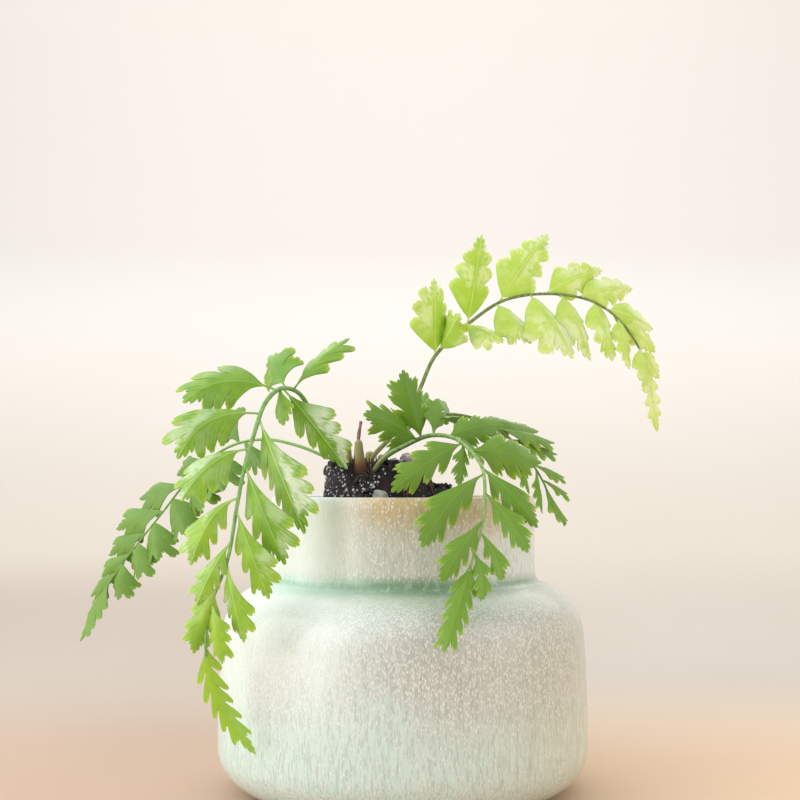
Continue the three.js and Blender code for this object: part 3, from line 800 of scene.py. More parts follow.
def tube(growth, path, radius_at, shares, sides, kind, groove=0.0, toward=(0.3, 0.2, 1), flank=0.0):
    """A closed tapering tube along a path, with a groove down its upper side and its flanks marked."""
    centres = path.at(shares)
    headings = path.heading(shares)
    side = unit(np.cross(headings[0], toward))
    turns = 2 * math.pi * np.arange(sides) / sides
    rings = []
    for share, centre, heading in zip(shares, centres, headings):
        side = unit(side - heading * np.dot(side, heading))
        other = np.cross(heading, side)
        shape = 1 - groove * np.maximum(0, np.cos(turns - math.pi / 2)) ** 6
        reach = (radius_at(share) * shape)[:, None]
        rings.append(centre + reach * (np.cos(turns)[:, None] * side + np.sin(turns)[:, None] * other))
    points = np.concatenate(rings)
    faces = []
    for ring in range(len(shares) - 1):
        for j in range(sides):
            a = ring * sides + j
            b = ring * sides + (j + 1) % sides
            faces.append((a, b, b + sides, a + sides))
    last = (len(shares) - 1) * sides
    faces.append(tuple(range(sides - 1, -1, -1)))
    faces.append(tuple(range(last, last + sides)))
    flanks = np.maximum(flank, np.abs(np.cos(turns)))
    growth.add(points, faces, kind, spread=np.repeat(shares, sides), rib=np.tile(flanks, len(shares)))


# Leaflets

BLADE = 0.34  # how thick a blade is
LAYERS = 7  # of faces from the midrib to the edge
FOLD = math.radians(12)  # how far each half droops from the midrib
TILT = math.radians(18)  # how far a leaflet leans over its frond's stem
YOUNG = 0.2  # the tone of a leaflet at its frond's tip
OLD = 0.8
# Where a tooth's edge has points, from one notch to the next
TOOTH = (0.0, 0.05, 0.14, 0.3, 0.5, 0.7, 0.86, 0.95)
# Half of a leaflet's end, beyond its last cut: degrees from the midrib, how far out, and teeth so far
END_TEETH = (
    (36, 0.4, 0.0), (35.5, 0.52, 0.08), (34, 0.62, 0.2), (31, 0.69, 0.35), (27.5, 0.71, 0.55),
    (24.5, 0.68, 0.75), (22.6, 0.63, 0.9), (21.6, 0.585, 1.0), (20.4, 0.66, 1.1), (18.6, 0.77, 1.22),
    (15.8, 0.86, 1.38), (12.6, 0.89, 1.58), (10, 0.865, 1.76), (8.4, 0.82, 1.9), (7.5, 0.785, 2.0),
    (6.6, 0.86, 2.1), (5.0, 0.94, 2.22), (2.6, 0.99, 2.36), (0.0, 1.0, 2.5),
)
END_LEAN = 41


def leaflet_side(length, shape, near, draw):
    """Half of a leaflet's edge, as rows of along, out, root, tooth, lobe and ripe, in shares of its length.

    Beyond its bare stalk, each lobe leaves the midrib, leans forward and ends square, in rounded teeth. A
    plain leaflet's near half has a smooth edge in place of its first lobe. Ripe is how far out on its lobe a
    point stands.
    """
    side = 0 if near else 1
    own = {key: value[side] if isinstance(value, tuple) else value for key, value in shape.items()}
    lobes = own["lobes"]
    stem = own["stem"]
    stalk = 0.35 / length
    start = stem + 0.035 + (own["shift"] if near else -own["shift"])
    pitch = (own["last"] - start) / lobes
    smooth_edge = near and own["plain"] and lobes > 1
    first = 1 if smooth_edge else 0
    top = 0.98 - own["arc"]
    rows = [(0, stalk, 0, 0, 0.5, 0), (0.5 * stem, stalk, 0.5 * stem, 0, 0.5, 0)]
    teeth = 0
    for lobe in range(first, lobes):
        share = lobe / lobes
        middle = start + pitch * (lobe + 0.5)
        low = middle - pitch / 2
        high = middle + pitch / 2
        lean = math.radians(own["lean"] * (1 - 0.3 * share)) * draw.uniform(0.96, 1.05)
        reach = own["width"] * (1 - own["taper"] * share**1.3) / math.sin(lean) * draw.uniform(0.95, 1.05)
        reach *= own["first"] if lobe == 0 else 1
        spread = 0.09 * reach * math.radians(own["lean"])
        half = (pitch * math.sin(lean) * own["fan"] + spread - 1.2 * own["mouth"] / length) / 2
        count = max(2, min(4, round(2.1 * half * length / own["tooth"])))
        notch = min(own["notch"] / length, 0.34 * reach)
        inner = 0.92 * half / math.sin(lean)
        left = max(low + 0.04 * pitch if lobe > first else stem, middle - inner)
        right = min(high - 0.04 * pitch, middle + inner)

        def place(away, over, tooth, part, ripe, root):
            along = middle + away * math.cos(lean) - over * math.sin(lean)
            out = away * math.sin(lean) + over * math.cos(lean)
            rows.append((along, max(out, stalk), root, teeth + tooth, part, ripe))

        if lobe == first:
            corner_along = middle + (top - 0.02) * reach * math.cos(lean) - half * math.sin(lean)
            corner_out = (top - 0.02) * reach * math.sin(lean) + half * math.cos(lean)
            for t in np.linspace(0, 0.9, 10 if smooth_edge else 6):
                hollow = own["hollow"] * math.sin(math.pi * t) * (1 - 0.4 * t)
                along = stem + (corner_along - stem) * t + 0.6 * hollow
                out = max(stalk, stalk + (corner_out - stalk) * t - hollow)
                root = along - out / math.tan(min(1.4, lean * (1.45 - 0.4 * t)))
                rows.append((along, out, min(left, max(0.95 * stem, rows[-1][2], root)), 0, 0.3, 0.3 * t))
        place(top * reach, half, 0, 0.0, 0.85, left + 0.02 * pitch)
        for i in range(1, len(TOOTH) * count):
            across = TOOTH[i % len(TOOTH)]
            tooth = i // len(TOOTH) + across
            part = tooth / count
            shoulder = 0.6 if tooth < 0.3 or tooth > count - 0.3 else 1
            end = reach * (1 - own["arc"] * abs(1 - 2 * part) ** 2.2 + 0.03 * part)
            depth = notch * abs(2 * across - 1) ** own["round"] * shoulder
            root = left + 0.03 * pitch + (right - left - 0.06 * pitch) * part
            place(end - depth, half * (1 - 2 * part), tooth, part, 1.0, root)
        place((top + 0.02) * reach, -half, count, 1.0, 0.85, right - 0.02 * pitch)
        teeth += count
        keep = own["keep"] + max(0, 0.62 - own["keep"]) * (lobe + 1) / lobes
        cut = keep * reach
        rows.append((high + cut * math.cos(0.93 * lean), cut * math.sin(0.93 * lean), high, teeth, 0.5, 0.2))
    span = 1 - high
    widen = own["end"] * lean / END_LEAN
    for degrees, far, tooth in END_TEETH:
        along = high + span * far * math.cos(degrees * widen)
        root = min(along, high + 0.8 * span * (tooth / 2.5) ** 1.2)
        rows.append((along, span * far * math.sin(degrees * widen), root, teeth + tooth, 0.5, far))
    return np.array(rows)


def leaflet(growth, midrib, faces, shape, tone, draw, cup=1.0):
    """A thin closed blade round its midrib. Its halves droop, its lobes cup, and its edge waves a little."""
    length = midrib.length
    wave = draw.uniform(0, AROUND)
    twist = draw.uniform(-0.3, 0.3)
    depth = np.linspace(0, 1, LAYERS + 1)
    grids = []

    def sides(share):
        """Which way the blade looks, and which way it lies, at shares of its midrib."""
        heading = midrib.heading(share)
        up = unit(faces - heading * np.sum(heading * faces, axis=-1, keepdims=True))
        across = np.cross(heading, up)
        turn = (twist * share)[..., None]
        return up * np.cos(turn) + across * np.sin(turn), across * np.cos(turn) - up * np.sin(turn)

    for sign in (1, -1):
        rows = leaflet_side(length, shape, sign == shape["near"], draw)
        rows[:, 2] = np.round(np.maximum.accumulate(rows[:, 2]), 4)
        along, out, root, tooth, part, ripe = (column[:, None] for column in rows.T)
        grid_along = np.minimum(root + (along - root) * depth, 1.0)
        grid_out = out * depth
        reach = (grid_out / 0.2) ** 1.5
        rise = -grid_out * math.sin(FOLD) - cup * grid_out**2
        rise = rise + 0.018 * np.sin(8 * grid_along + wave + 1.3 * sign) * grid_out / 0.2
        rise = rise + 0.008 * np.sin(23 * grid_along + 2 * wave) * reach
        rise = rise + shape["tilt"] * (part - 0.45) * reach * depth**4 * ripe**2
        rise = rise - 0.003 * np.cos(2 * math.pi * tooth) * depth**6 * ripe**2
        up, across = sides(grid_along)
        across = across * sign
        offset = across * grid_out[..., None] * math.cos(FOLD) + up * rise[..., None]
        middle = midrib.at(grid_along) + offset * length
        grids.append((middle, up, rows, grid_along.reshape(-1)))
    for (middle, up, rows, along), (_, _, facing, _), sign in zip(grids, reversed(grids), (1, -1)):
        count = len(rows)
        # The other half's roots, so that both halves share all of the midrib's points
        joins = np.setdiff1d(facing[:, 2], rows[:, 2])
        before = np.searchsorted(rows[:, 2], joins) - 1
        du = np.gradient(middle, axis=0)
        dv = np.gradient(middle, axis=1)
        normal = np.cross(du, dv) * -sign
        sizes = np.linalg.norm(normal, axis=-1, keepdims=True)
        good = sizes[..., 0] > 1e-6
        normal = np.where(good[..., None], normal / np.maximum(sizes, 1e-9), up)
        flat = np.sum(normal * up, axis=-1) < 0.5
        normal = np.where(flat[..., None], up, normal)
        normal[:, 0] = up[:, 0]
        normal[-1] = up[-1]
        middle = np.concatenate([middle.reshape(-1, 3), midrib.at(joins)])
        normal = np.concatenate([normal.reshape(-1, 3), sides(joins)[0]]) * BLADE / 2
        index = np.arange(count * (LAYERS + 1)).reshape(count, LAYERS + 1)
        total = index.size + len(joins)
        outward = lambda face: face if sign < 0 else face[::-1]
        strips = []
        for i in range(count - 1):
            same_root = rows[i + 1, 2] - rows[i, 2] < 1e-6
            for j in range(LAYERS):
                a, b, c, d = index[i, j], index[i + 1, j], index[i + 1, j + 1], index[i, j + 1]
                corners = [(a, b, c, d)]
                if j == 0 and same_root:
                    corners = [(b, c, d)]
                elif j == 0 and i in before:
                    chain = [a, *(index.size + np.flatnonzero(before == i)), b]
                    corners = [(b, c, d), *((p, q, d) for p, q in zip(chain, chain[1:]))]
                for face in corners:
                    strips.append(outward(face))
                    strips.append(tuple(total + k for k in reversed(outward(face))))
            a, b = index[i, -1], index[i + 1, -1]
            strips.append(outward((a, b, total + b, total + a)))
        for a, b in zip(index[0], index[0, 1:]):
            strips.append(outward((a, b, total + b, total + a)))
        points = np.concatenate([middle + normal, middle - normal])
        under = np.concatenate([np.zeros(total), np.ones(total)])
        marks = {
            "tooth": (rows[:, 3][:, None] + 0 * depth, np.interp(joins, rows[:, 2], rows[:, 3])),
            "spread": (depth + 0 * rows[:, :1], 0 * joins),
            "rib": (rows[:, 1][:, None] * depth * length, 0 * joins),
            "ripe": (rows[:, 5][:, None] * depth, 0 * joins),
            "along": (along, joins),
        }
        marks = {
            mark: np.tile(np.concatenate([grid.reshape(-1), rest]), 2)
            for mark, (grid, rest) in marks.items()
        }
        # With lit set, a leaflet's painted sheen is mostly on the half nearer its frond's root.
        bloom = shape["bloom"] * (0.3 if shape["lit"] and sign != shape["near"] else 1)
        growth.add(points, strips, 0, under=under, tone=tone, bloom=bloom, **marks)


# Leaflets' shapes

# A leaflet's usual make, in shares of its length and of its lobes' pitch unless told otherwise:
# stem: how long its bare stalk is; last: where its last lobe ends; end: how wide its end is
# lean: degrees that its first lobes lean from the midrib; taper: how its lobes shorten towards its end
# first: how long its first lobe is; fan: how wide its lobes are; arc: how round their ends are
# keep: how far out from the midrib a cut starts; mouth: the cut's gap in millimetres
# tooth: a tooth's width, and notch its depth, in millimetres; round: 4 for round teeth, 2 for pointed ones
# hollow: how its base edge curves in; tilt: how its lobes overlap
# plain: 1 where the half nearer the frond's root has a smooth edge
# bloom: how much whitish painted sheen its end has; lit: 1 where that painted sheen is mostly on that half
# A pair is the value for that half and for the other.
LEAFLET = dict(
    stem=0.1, last=0.66, lean=42, taper=0.3, first=0.95, fan=1.08, arc=0.12, end=1.0, keep=0.14, mouth=0.4,
    tooth=1.8, notch=1.3, round=4, hollow=0.03, tilt=0.02, plain=0, bloom=0.0, lit=0,
)
WIDE_BACK = dict(
    faces=(-0.2, -0.85, 0.45), width=0.46, end=1.1, lean=42, keep=0.5, plain=0, hollow=-0.03, fan=1.2,
)
BROAD = dict(
    width=0.26, lobes=(3, 3), lean=40, keep=(0.5, 0.25), taper=0.35, mouth=(0.35, 0.9), last=0.66, notch=1.0,
    stem=0.14, plain=1, lit=1,
)
ROUND = dict(
    width=0.22, lobes=3, lean=44, keep=0.82, first=1.0, taper=0.6, hollow=-0.02, last=0.7, fan=1.12,
    tooth=2.8, notch=0.6, end=0.8, mouth=0.5, tilt=0.0,
)
LONG_RIGHT = dict(bloom=1.0, lit=1, keep=(0.5, 0.06), mouth=(0.4, 1.4), fan=(1.1, 1.32))
TOP = dict(width=0.28, lean=42, keep=0.4, notch=2.0, tooth=1.8, taper=0.35, last=0.66, stem=0.04)
RIGHT = dict(plain=1, keep=(0.5, 0.3), width=0.19)

# Fronds

# Each has its curve from root to tip, its stem's radius at the root, where its upper side looks, where its
# end leaflet starts, its last leaflet's shape, and its leaflets: how far along they stand, their tip, and how
# they differ. Via is a point that a leaflet's midrib passes, bulge how far the others arch.
FRONDS = {
    "frond_left_front": dict(
        width=0.2, radius=1.05, faces=(-0.2, -0.85, 0.5), end=0.79,
        leaflet=dict(
            keep=(0.5, 0.15), lean=36, taper=0.2, tooth=1.5, notch=1.2, mouth=(0.4, 1.2), fan=(1.1, 1.28),
            arc=(0.16, 0.26),
        ),
        last=dict(width=0.11, lobes=5, keep=0.06, lean=30, mouth=0.9, fan=1.0, end=0.65, taper=0.35),
        curve=(
            (-18.5, 3, 113), (-22, 2, 121), (-27.5, -3, 129), (-33.5, -11, 138.5), (-38, -20, 145.5),
            (-43.5, -30, 146.5), (-48, -39, 141), (-51, -48, 129.5), (-53.5, -54, 118), (-55.5, -58, 104.5),
            (-58, -61, 87.5), (-63, -62, 73.5), (-65, -61, 61.5), (-63, -60, 47.5), (-56.5, -59, 34.5),
            (-48.5, -59, 24),
        ),
        leaflets=(
            (
                0.25, (-20, -6, 167),
                dict(width=0.16, lobes=3, last=0.7, end=0.5, keep=0.1, lean=31, mouth=0.7),
            ),
            (0.275, (-50, -8, 160), dict(width=0.36, lobes=2, last=0.55, lean=48, end=1.3, keep=0.3)),
            (0.304, (-76, -44, 140.5), dict(BROAD, via=(-62.5, -37, 148.5), lobes=3, plain=0, bloom=0.3)),
            (
                0.293, (-42, -36, 133),
                dict(width=0.25, lobes=1, lean=30, last=0.4, stem=0.04, end=1.5, keep=0.5),
            ),
            (0.284, (-20, -26, 118), dict(LONG_RIGHT, width=0.19, first=1.05, taper=0.35)),
            (0.378, (-76, -54, 121), dict(BROAD, via=(-66, -50, 134), bloom=0.5)),
            (0.388, (-33, -54, 96), dict(LONG_RIGHT, width=0.18, first=1.1, plain=1)),
            (0.454, (-74, -59, 107), dict(BROAD, via=(-64, -57, 119.5), bloom=0.6)),
            (0.486, (-39, -60, 86), dict(plain=1, bloom=0.4, lit=1)),
            (0.544, (-70, -62, 86), dict(via=(-63.5, -62, 101), plain=1, bloom=0.6, lit=1)),
            (0.565, (-44, -63, 75), dict(plain=1, bloom=0.4, lit=1)),
            (0.618, (-68, -62, 73), dict(plain=1, bloom=0.4)),
            (0.655, (-52, -64, 61), dict(plain=1, bloom=0.3)), (0.691, (-69, -60, 57), {}),
            (0.721, (-59, -64, 54), {}),
        ),
    ),
    "frond_left_rear": dict(
        width=0.33, radius=0.75, faces=(-0.35, -0.65, 0.7), end=0.84,
        leaflet=dict(
            keep=(0.6, 0.4), tooth=2.2, notch=1.2, lobes=2, stem=0.02, lean=34, end=0.75, last=0.56,
            taper=0.5, plain=1,
        ),
        last=dict(width=0.19, lobes=4, plain=0),
        curve=(
            (-16.5, 7, 114), (-20.5, 8, 119.5), (-30, 10, 123), (-40, 15, 127), (-54.5, 24, 130),
            (-69.5, 33, 127.5), (-84, 41, 118), (-100, 48, 99.5), (-115, 52, 81), (-126.5, 54, 64),
            (-134, 55, 47),
        ),
        leaflets=(
            (0.345, (-73, 50, 141), {}), (0.33, (-54, 20, 117.5), {}), (0.45, (-95, 58, 116), {}),
            (0.42, (-71, 23, 109.5), WIDE_BACK), (0.54, (-111, 60, 106), {}),
            (0.5, (-80.5, 31, 101), WIDE_BACK), (0.62, (-121, 62, 93), {}),
            (0.58, (-87.5, 37, 91.5), WIDE_BACK), (0.69, (-124, 62, 82), {}),
            (0.655, (-99.5, 43, 81), WIDE_BACK), (0.755, (-127, 62, 73), {}),
            (0.72, (-108.5, 46.5, 73), WIDE_BACK), (0.815, (-131, 60, 65), {}),
            (0.785, (-117.5, 50.5, 64.5), WIDE_BACK),
        ),
    ),
    "frond_front": dict(
        width=0.18, radius=1.0, faces=(0.1, -0.8, 0.6), end=0.76,
        leaflet=dict(
            keep=(0.35, 0.2), tooth=1.7, notch=1.9, round=1.7, lean=35, mouth=(0.4, 0.9), stem=0.06, end=1.05,
            arc=0.3, fan=1.2,
        ),
        last=dict(
            width=0.145, lobes=5, lean=30, keep=0.1, mouth=0.6, fan=1.05, last=0.76, notch=1.6, end=0.75,
        ),
        curve=(
            (-12.5, -1.5, 113.5), (-10.5, -4, 118), (-6.5, -8, 122.5), (1.5, -14, 127), (9.5, -22, 130),
            (17.5, -31, 129), (23, -40, 124.5), (27, -47, 118), (27.5, -53, 110), (26.5, -57, 100),
            (23.5, -61, 90), (20, -66, 80), (17.5, -70, 72.5), (12.5, -78, 59.5),
        ),
        leaflets=(
            (0.226, (0, -20, 154), dict(TOP, faces=(-0.1, -0.9, 0.2))), (0.209, (-14, -36, 137), TOP),
            (0.271, (13, -10, 144), dict(width=0.24)),
            (0.328, (36, -20, 134), dict(TOP, faces=(0, -0.8, 0.6), width=0.28)), (0.391, (-4, -52, 110), {}),
            (0.397, (19, -44, 112), {}), (0.432, (49, -30, 120), dict(TOP, width=0.28)),
            (0.523, (6, -66, 92), dict(via=(16, -57, 107), plain=1)), (0.503, (45, -54, 98), RIGHT),
            (0.578, (41, -62, 90), dict(RIGHT, via=(35.5, -58.5, 100))),
            (0.65, (12, -70, 81), dict(via=(20, -64, 93), plain=1)),
            (0.682, (32, -66, 81), dict(RIGHT, via=(30, -62, 89.5))),
            (0.736, (25, -70, 75), dict(via=(25.5, -65.5, 83))),
        ),
    ),
    "frond_upper": dict(
        width=0.22, radius=0.95, faces=(0.1, -0.85, 0.5), end=0.84,
        leaflet=dict(
            keep=0.8, notch=0.8, tooth=2.4, lean=42, hollow=-0.045, mouth=0.5, bloom=0.6, lobes=2, last=0.58,
            end=1.05, stem=0.07, first=1.05, taper=0.4, tilt=0.0,
        ),
        last=dict(width=0.1, lobes=4, last=0.74, lean=32, hollow=0.0, end=0.7),
        curve=(
            (-14, 5, 113), (-11.5, 5, 122.5), (-5, 7, 130), (2, 10, 140), (6.5, 13, 149), (12, 16, 161.5),
            (18.5, 18, 169), (27, 20, 176.5), (40.5, 24, 185.5), (58, 27, 188.5), (75.5, 29, 186),
            (86.5, 30, 179), (94.5, 30, 168), (99, 29, 152.5), (101.5, 28, 133),
        ),
        leaflets=(
            (0.3, (12, 8, 192), dict(ROUND, width=0.27)), (0.316, (22, 6, 178), dict(width=0.36)),
            (0.396, (31, 14, 210), ROUND), (0.394, (39, 10, 167), dict(width=0.36)),
            (0.479, (59, 34, 214), ROUND), (0.472, (50, 14, 167), dict(width=0.32)),
            (0.58, (82, 40, 200), ROUND), (0.547, (66, 12, 161), dict(width=0.3)),
            (0.651, (95, 44, 193), ROUND), (0.613, (74, 20, 161), dict(width=0.2)),
            (0.716, (103, 42, 176), {}), (0.682, (83, 22, 161), dict(width=0.19)),
            (0.762, (103, 38, 166), {}), (0.746, (90, 24, 158), dict(width=0.19)),
            (0.829, (104, 36, 155), {}), (0.82, (98, 26, 148), dict(width=0.19)),
        ),
    ),
    "frond_right_rear": dict(
        width=0.18, bulge=0.03, radius=1.0, faces=(0.3, -0.25, 0.9), end=0.84,
        leaflet=dict(notch=2.2, tooth=1.8, lean=31, stem=0.05, keep=0.1, mouth=0.6, end=0.8),
        last=dict(width=0.3, lobes=3),
        curve=(
            (-13, 9, 114), (-9.5, 11, 120.5), (-5, 14, 125), (-0.5, 19, 131), (5, 26, 137), (13, 34, 140),
            (23.5, 42, 140.5), (36.5, 50, 137), (47, 56, 129.5), (56, 60, 119), (63.5, 62, 106),
            (70, 63, 96.5),
        ),
        leaflets=(
            (0.3, (10, 44, 150), {}), (0.31, (26, 18, 138), {}), (0.4, (18, 60, 147), {}),
            (0.413, (32, 22, 120), {}), (0.526, (59, 74, 135), {}), (0.51, (42, 30, 120), {}),
            (0.604, (66, 74, 130), {}), (0.6, (48, 38, 114), {}), (0.667, (67, 74, 125), {}),
            (0.7, (52, 46, 108), {}), (0.782, (70, 73, 115), dict(width=0.22)), (0.8, (58, 52, 100), {}),
            (0.84, (71, 71, 108), dict(width=0.26)),
        ),
    ),
}


def turned(vector, axis, angle):
    """A vector turned about an axis."""
    turned_part = vector * math.cos(angle) + np.cross(axis, vector) * math.sin(angle)
    return turned_part + axis * np.dot(axis, vector) * (1 - math.cos(angle))


def make_frond(name, frond, blade, stalk):
    """A stem with its leaflets. Leaflets are younger, and paler, towards the tip."""
    draw = random.Random(name)
    path = Path(frond["curve"])
    growth = Growth()
    shares = np.concatenate([[0.35 / path.length], np.linspace(0.01, frond["end"] + 0.025, 110)])
    radius_at = lambda share: frond["radius"] * (1 - 0.68 * share)
    tube(growth, path, radius_at, shares, 12, 1, groove=0.22)
    for i, (at, tip, extra) in enumerate(frond["leaflets"]):
        start = path.at(at)
        end = np.array(tip, float)
        away = np.linalg.norm(end - start)
        faces = unit(np.array(extra.get("faces", frond["faces"]), float))
        bulge = frond.get("bulge", 0.09) * away * faces
        middle = np.array(extra["via"], float) if "via" in extra else (start + end) / 2 + bulge
        direction = unit(end - start)
        side = -np.sign(np.dot(np.cross(path.heading(at), direction), faces))
        shape = {
            **LEAFLET,
            "width": frond["width"],
            "lobes": 4 if away > 38 else (3 if away > 19 else 2),
            "near": side,
            "shift": side * (0.02 if i % 2 else -0.02),
            **frond.get("leaflet", {}),
            **{key: extra[key] for key in extra if key in LEAFLET or key in ("width", "lobes")},
        }
        tone = YOUNG + (OLD - YOUNG) * (1 - at) + draw.uniform(-0.08, 0.08)
        up = turned(faces, direction, -side * TILT)
        leaflet(growth, Bow(start, middle, end), up, shape, tone, draw)
    rest = Path(path.at(np.linspace(frond["end"], 1, 6)))
    shape = {**LEAFLET, **frond.get("leaflet", {}), "width": 0.15, "lobes": 4, "shift": 0.02, "near": 1}
    shape.update({"stem": 0.01, "last": 0.72, **frond.get("last", {})})
    leaflet(growth, rest, unit(np.array(frond["faces"], float)), shape, YOUNG, draw, cup=0.5)
    return growth.piece(name + "_blades", [blade, stalk])


# The crown

CROWN = (-14.5, 3)
CROWN_RADIUS = 8.5
BASES = (
    ((-15.2, -1.5, 110), (-16.2, -4.0, 119), (-16.6, -4.8, 129), 4.3, 1.35),
    ((-19.5, -0.8, 110), (-20.4, -1.8, 119), (-20.6, -2.2, 128.4), 3.2, 0.9),
    ((-10, 1, 110), (-8.4, 0.6, 119), (-7.4, 0.4, 123.5), 3.0, 1.7),
    ((-13, 8, 110), (-12.6, 9.4, 119), (-12.8, 10, 125), 2.6, 1.5),
    ((-20.5, 5, 110), (-22, 6, 118), (-22.3, 6.4, 122.5), 2.4, 1.4),
)
DRY_STUB = ((-16.5, -4.4, 125), (-16.6, -4.6, 130), (-15.7, -4.8, 136), 0.8)
FORWARD = (0, -1, 0.2)


def make_crown(finish, dry):
    """A short rootstock, the stout bases of old fronds round it, a dry stub and a ruff of dark scales."""
    draw = random.Random(5)
    growth = Growth()
    trunk = Path([(*CROWN, 103.2), (*CROWN, 108), (*CROWN, 113), (*CROWN, 117), (*CROWN, 119.6)])
    swell = lambda share: 9.3 * math.sin(math.pi * min(0.93, 0.12 + 0.85 * share)) ** 0.6
    tube(growth, trunk, swell, np.linspace(0, 1, 28), 40, 0, toward=FORWARD)
    for foot, waist, head, wide, narrow in BASES:
        path = Path([foot, waist, head])
        lump = draw.uniform(0, 6)

        def shape(share):
            taper = wide + (narrow - wide) * share**0.7
            closing = 1 - 0.55 * max(0, (share - 0.93) / 0.07) ** 2
            return taper * (1 + 0.05 * math.sin(9 * share + lump)) * closing

        shares = np.concatenate([np.linspace(0, 0.93, 30), [0.955, 0.975, 0.99, 1]])
        tube(growth, path, shape, shares, 20, 0, groove=0.12, toward=FORWARD)
    foot, waist, head, radius = DRY_STUB
    stub = lambda share: radius * (1 - 0.3 * share + 0.08 * math.sin(14 * share))
    tube(growth, Path([foot, waist, head]), stub, np.linspace(0, 1, 24), 10, 1, groove=0.3, toward=FORWARD)
    for _ in range(110):
        turn = draw.uniform(0, AROUND)
        out = draw.uniform(4.5, 9.2)
        x, y = CROWN[0] + out * math.cos(turn), CROWN[1] + out * math.sin(turn)
        start = np.array([x, y, draw.uniform(114, 119)])
        lean = np.array([math.cos(turn), math.sin(turn), 0]) * draw.uniform(-0.9, 1.2)
        end = start + lean + np.array([0, 0, draw.uniform(2.5, 6)])
        path = Path([start, (start + end) / 2 + 0.3 * lean, end])
        tube(growth, path, lambda share: 0.5 * (1 - 0.85 * share), np.linspace(0, 1, 5), 5, 0, flank=1.0)
    return growth.piece("crown_leaf_bases", [finish, dry])


def make_rootlets(finish):
    """Fine roots that loop out of the root ball."""
    draw = random.Random(17)
    growth = Growth()
    chosen, _ = spots(26, 47, 4, lambda x, y: math.hypot(x + 10, y) < 30)
    for x, y in chosen:
        turn = draw.uniform(0, AROUND)
        points = []
        for k in range(5):
            turn += draw.uniform(-0.7, 0.7)
            x, y = x + 2.2 * math.cos(turn), y + 2.2 * math.sin(turn)
            if math.hypot(x, y) > MOUTH - 2:
                break
            points.append((x, y, ground(x, y) + (0.5 if 0 < k < 4 else -0.6)))
        if len(points) > 2:
            path = Path(points)
            tube(growth, path, lambda share: 0.24 - 0.1 * share, np.linspace(0, 1, 16), 6, 0)
    return growth.piece("rootlets", [finish])


# The studio, in metres

WALL_START = 0.55
WALL_CURVE = 0.9
CAMERA_PLACE = (-0.0011, -0.5, 0.114)
CAMERA_TILT = 3.459  # degrees up
CAMERA_LENS = 59.56


def make_stage(finish):
    """A pale floor that curves up into a pale wall."""
    grid = {"x_subdivisions": 4, "y_subdivisions": 60, "size": 6}
    backdrop = started("backdrop", bpy.ops.mesh.primitive_grid_add, **grid)
    for vertex in backdrop.data.vertices:
        along = vertex.co.y - WALL_START
        if along > 0:
            turn = min(along / WALL_CURVE, math.pi / 2)
            rest = max(0.0, along - WALL_CURVE * math.pi / 2)
            vertex.co.y = WALL_START + WALL_CURVE * math.sin(turn)
            vertex.co.z = WALL_CURVE * (1 - math.cos(turn)) + rest
    backdrop.data.materials.append(finish)
    smooth(backdrop, 60)


def make_light(name, place, aim, size, power, colour):
    data = bpy.data.lights.new(name, "AREA")
    data.shape = "RECTANGLE"
    data.size, data.size_y = size
    data.energy = power
    data.color = colour
    light = bpy.data.objects.new(name, data)
    light.location = place
    light.visible_camera = False
    light.rotation_euler = (Vector(aim) - Vector(place)).to_track_quat("-Z", "Y").to_euler()
    bpy.context.scene.collection.objects.link(light)


def make_camera():
    data = bpy.data.cameras.new("camera")
    data.lens = CAMERA_LENS
    data.sensor_width = 36
    camera = bpy.data.objects.new("camera", data)
    camera.location = CAMERA_PLACE
    camera.rotation_euler = (math.radians(90 + CAMERA_TILT), 0, 0)
    bpy.context.scene.collection.objects.link(camera)
    bpy.context.scene.camera = camera


make_camera()
world = bpy.data.worlds.new("room")
world.use_nodes = True
sky = world.node_tree.nodes["Background"].inputs
sky["Color"].default_value = tint("f6f7fa")
sky["Strength"].default_value = 0.56
bpy.context.scene.world = world
bpy.context.scene.view_settings.view_transform = "Standard"
make_stage(wall_finish())
make_light("window", (-0.44, -0.17, 0.22), (0, 0, 0.08), (0.66, 0.44), 2.15, (0.97, 0.99, 1.0))
make_light("overhead", (-0.3, -0.4, 1.5), (0, 0, 0.1), (2.2, 1.8), 8.2, (0.99, 0.99, 1.0))
make_light("wall", (0.0, 0.3, 1.5), (0, 2.0, 1.15), (1.8, 0.9), 8.6, (1.0, 0.99, 0.98))
make_light("skylight", (0.0, 0.7, 0.95), (0, 0, 0.12), (2.4, 1.0), 6.5, (0.96, 1.0, 1.0))
make_light("fill", (0.9, -0.55, 0.45), (0, 0, 0.07), (0.9, 0.9), 3.4, (0.97, 0.99, 1.0))

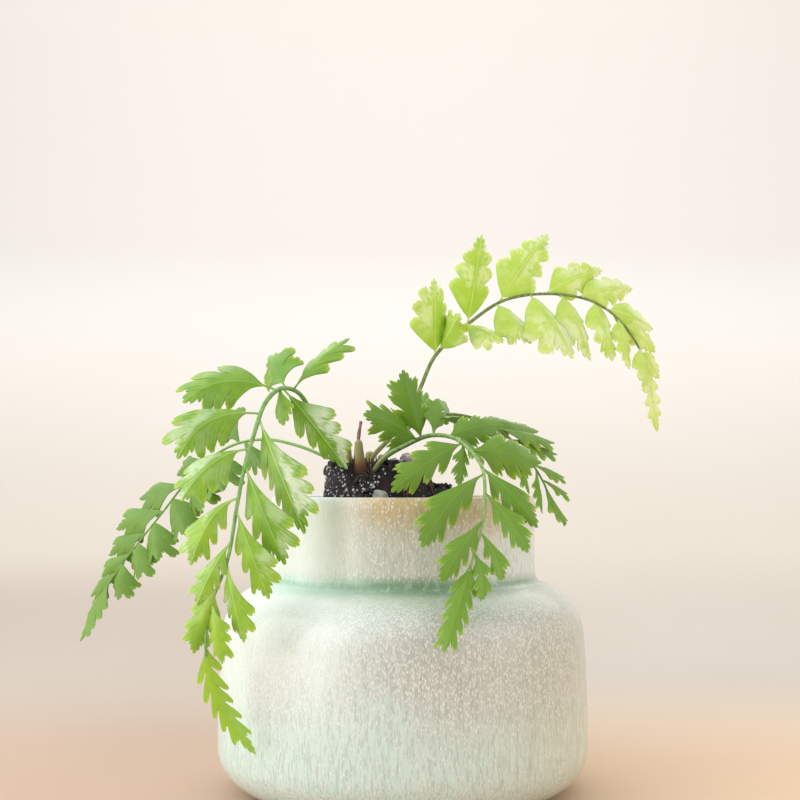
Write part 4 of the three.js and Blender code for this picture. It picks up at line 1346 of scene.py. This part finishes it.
glaze = glaze_finish()
mix_paint = mix_finish()
bark_red = bark_finish("bark_red", "9a5a3c", "6a3524", "2e1a15")
bark_grey = bark_finish("bark_grey", "6d6870", "403a42", "1f1c22")
bark_pale = bark_finish("bark_pale", "e4d6d8", "a8959c", "574650")
bark_dark = bark_finish("bark_dark", "5a4238", "2e2526", "18151b")
white_grain = mineral_finish("perlite", "f0edea", "b9b4b4", "6d6360")
grey_grain = mineral_finish("pumice", "c5c6bd", "8e948a", "55544c")
bases = crown_finish()
root_paint = bark_finish("rootlet", "a07a58", "7a563c", "46301f")
leaf_bright = leaf_finish(
    "leaf_bright", ("9cc034", "66981c", "3f6a1e"), "b8cc44", "d5e8b4", "86b252", gloss=0.3
)
leaf_deep = leaf_finish("leaf_deep", ("70981a", "608a16", "365c1e"), "b0c83e", "b4d084", "7aa45c", 0.12, 0.44)
leaf_rear = leaf_finish("leaf_rear", ("709636", "5a812c", "36581f"), "86a63a", "a0c078", "7a9a46", 0.05, 0.5)
leaf_young = leaf_finish(
    "leaf_young", ("cce070", "a0c43a", "8fb03e"), "eef8c4", "dcf0a4", "d0ea88", 0.15, 0.42, "f2fbdc", 0.6, 0.0
)
stem_green = stem_finish("stem_green", "8cb864", "6c9a4a", "8a8a56")
stem_rear = stem_finish("stem_rear", "82b050", "6c9a3c", "8a8a56")
stem_pale = stem_finish("stem_pale", "9cbc72", "76a04e", "c9bd92")
stem_dark = stem_finish("stem_dark", "7d9a50", "56763a", "6f6a42")
stem_young = stem_finish("stem_young", "8a9c58", "5f7538", "a39a66")

pot = make_pot(glaze)
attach(pot, "root")
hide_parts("pot")

mix = make_mix(mix_paint)
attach(mix, "root")
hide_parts("soil")

CHIP_PAINTS = {"bark_chip_rear": bark_grey, "bark_chip_centre": bark_pale}
for seed, (name, size, turn) in enumerate(CHIPS):
    mineral = name.startswith("pumice")
    paint = grey_grain if mineral else CHIP_PAINTS.get(name, bark_red)
    chip = make_chip(name, size, turn, paint, seed)
    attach(chip, "root")
    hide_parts(name)

crumbs = make_crumbs(bark_dark)
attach(crumbs, "root")

perlite = make_perlite(white_grain)
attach(perlite, "root")

rootlets = make_rootlets(root_paint)
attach(rootlets, "root")

crown = make_crown(bases, bark_finish("dry_stalk", "cda9a2", "b58a86", "8a625f"))
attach(crown, "root")
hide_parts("crown")

PAINTS = {
    "frond_left_front": (leaf_bright, stem_green, "leaf"),
    "frond_left_rear": (leaf_rear, stem_rear, "leaf"),
    "frond_front": (leaf_deep, stem_pale, "leaf"),
    "frond_upper": (leaf_young, stem_young, "young_leaf"),
    "frond_right_rear": (leaf_deep, stem_dark, "leaf"),
}
for name, (blade, stalk, slot) in PAINTS.items():
    frond = make_frond(name, FRONDS[name], blade, stalk)
    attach(frond, "root")
    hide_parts(name)
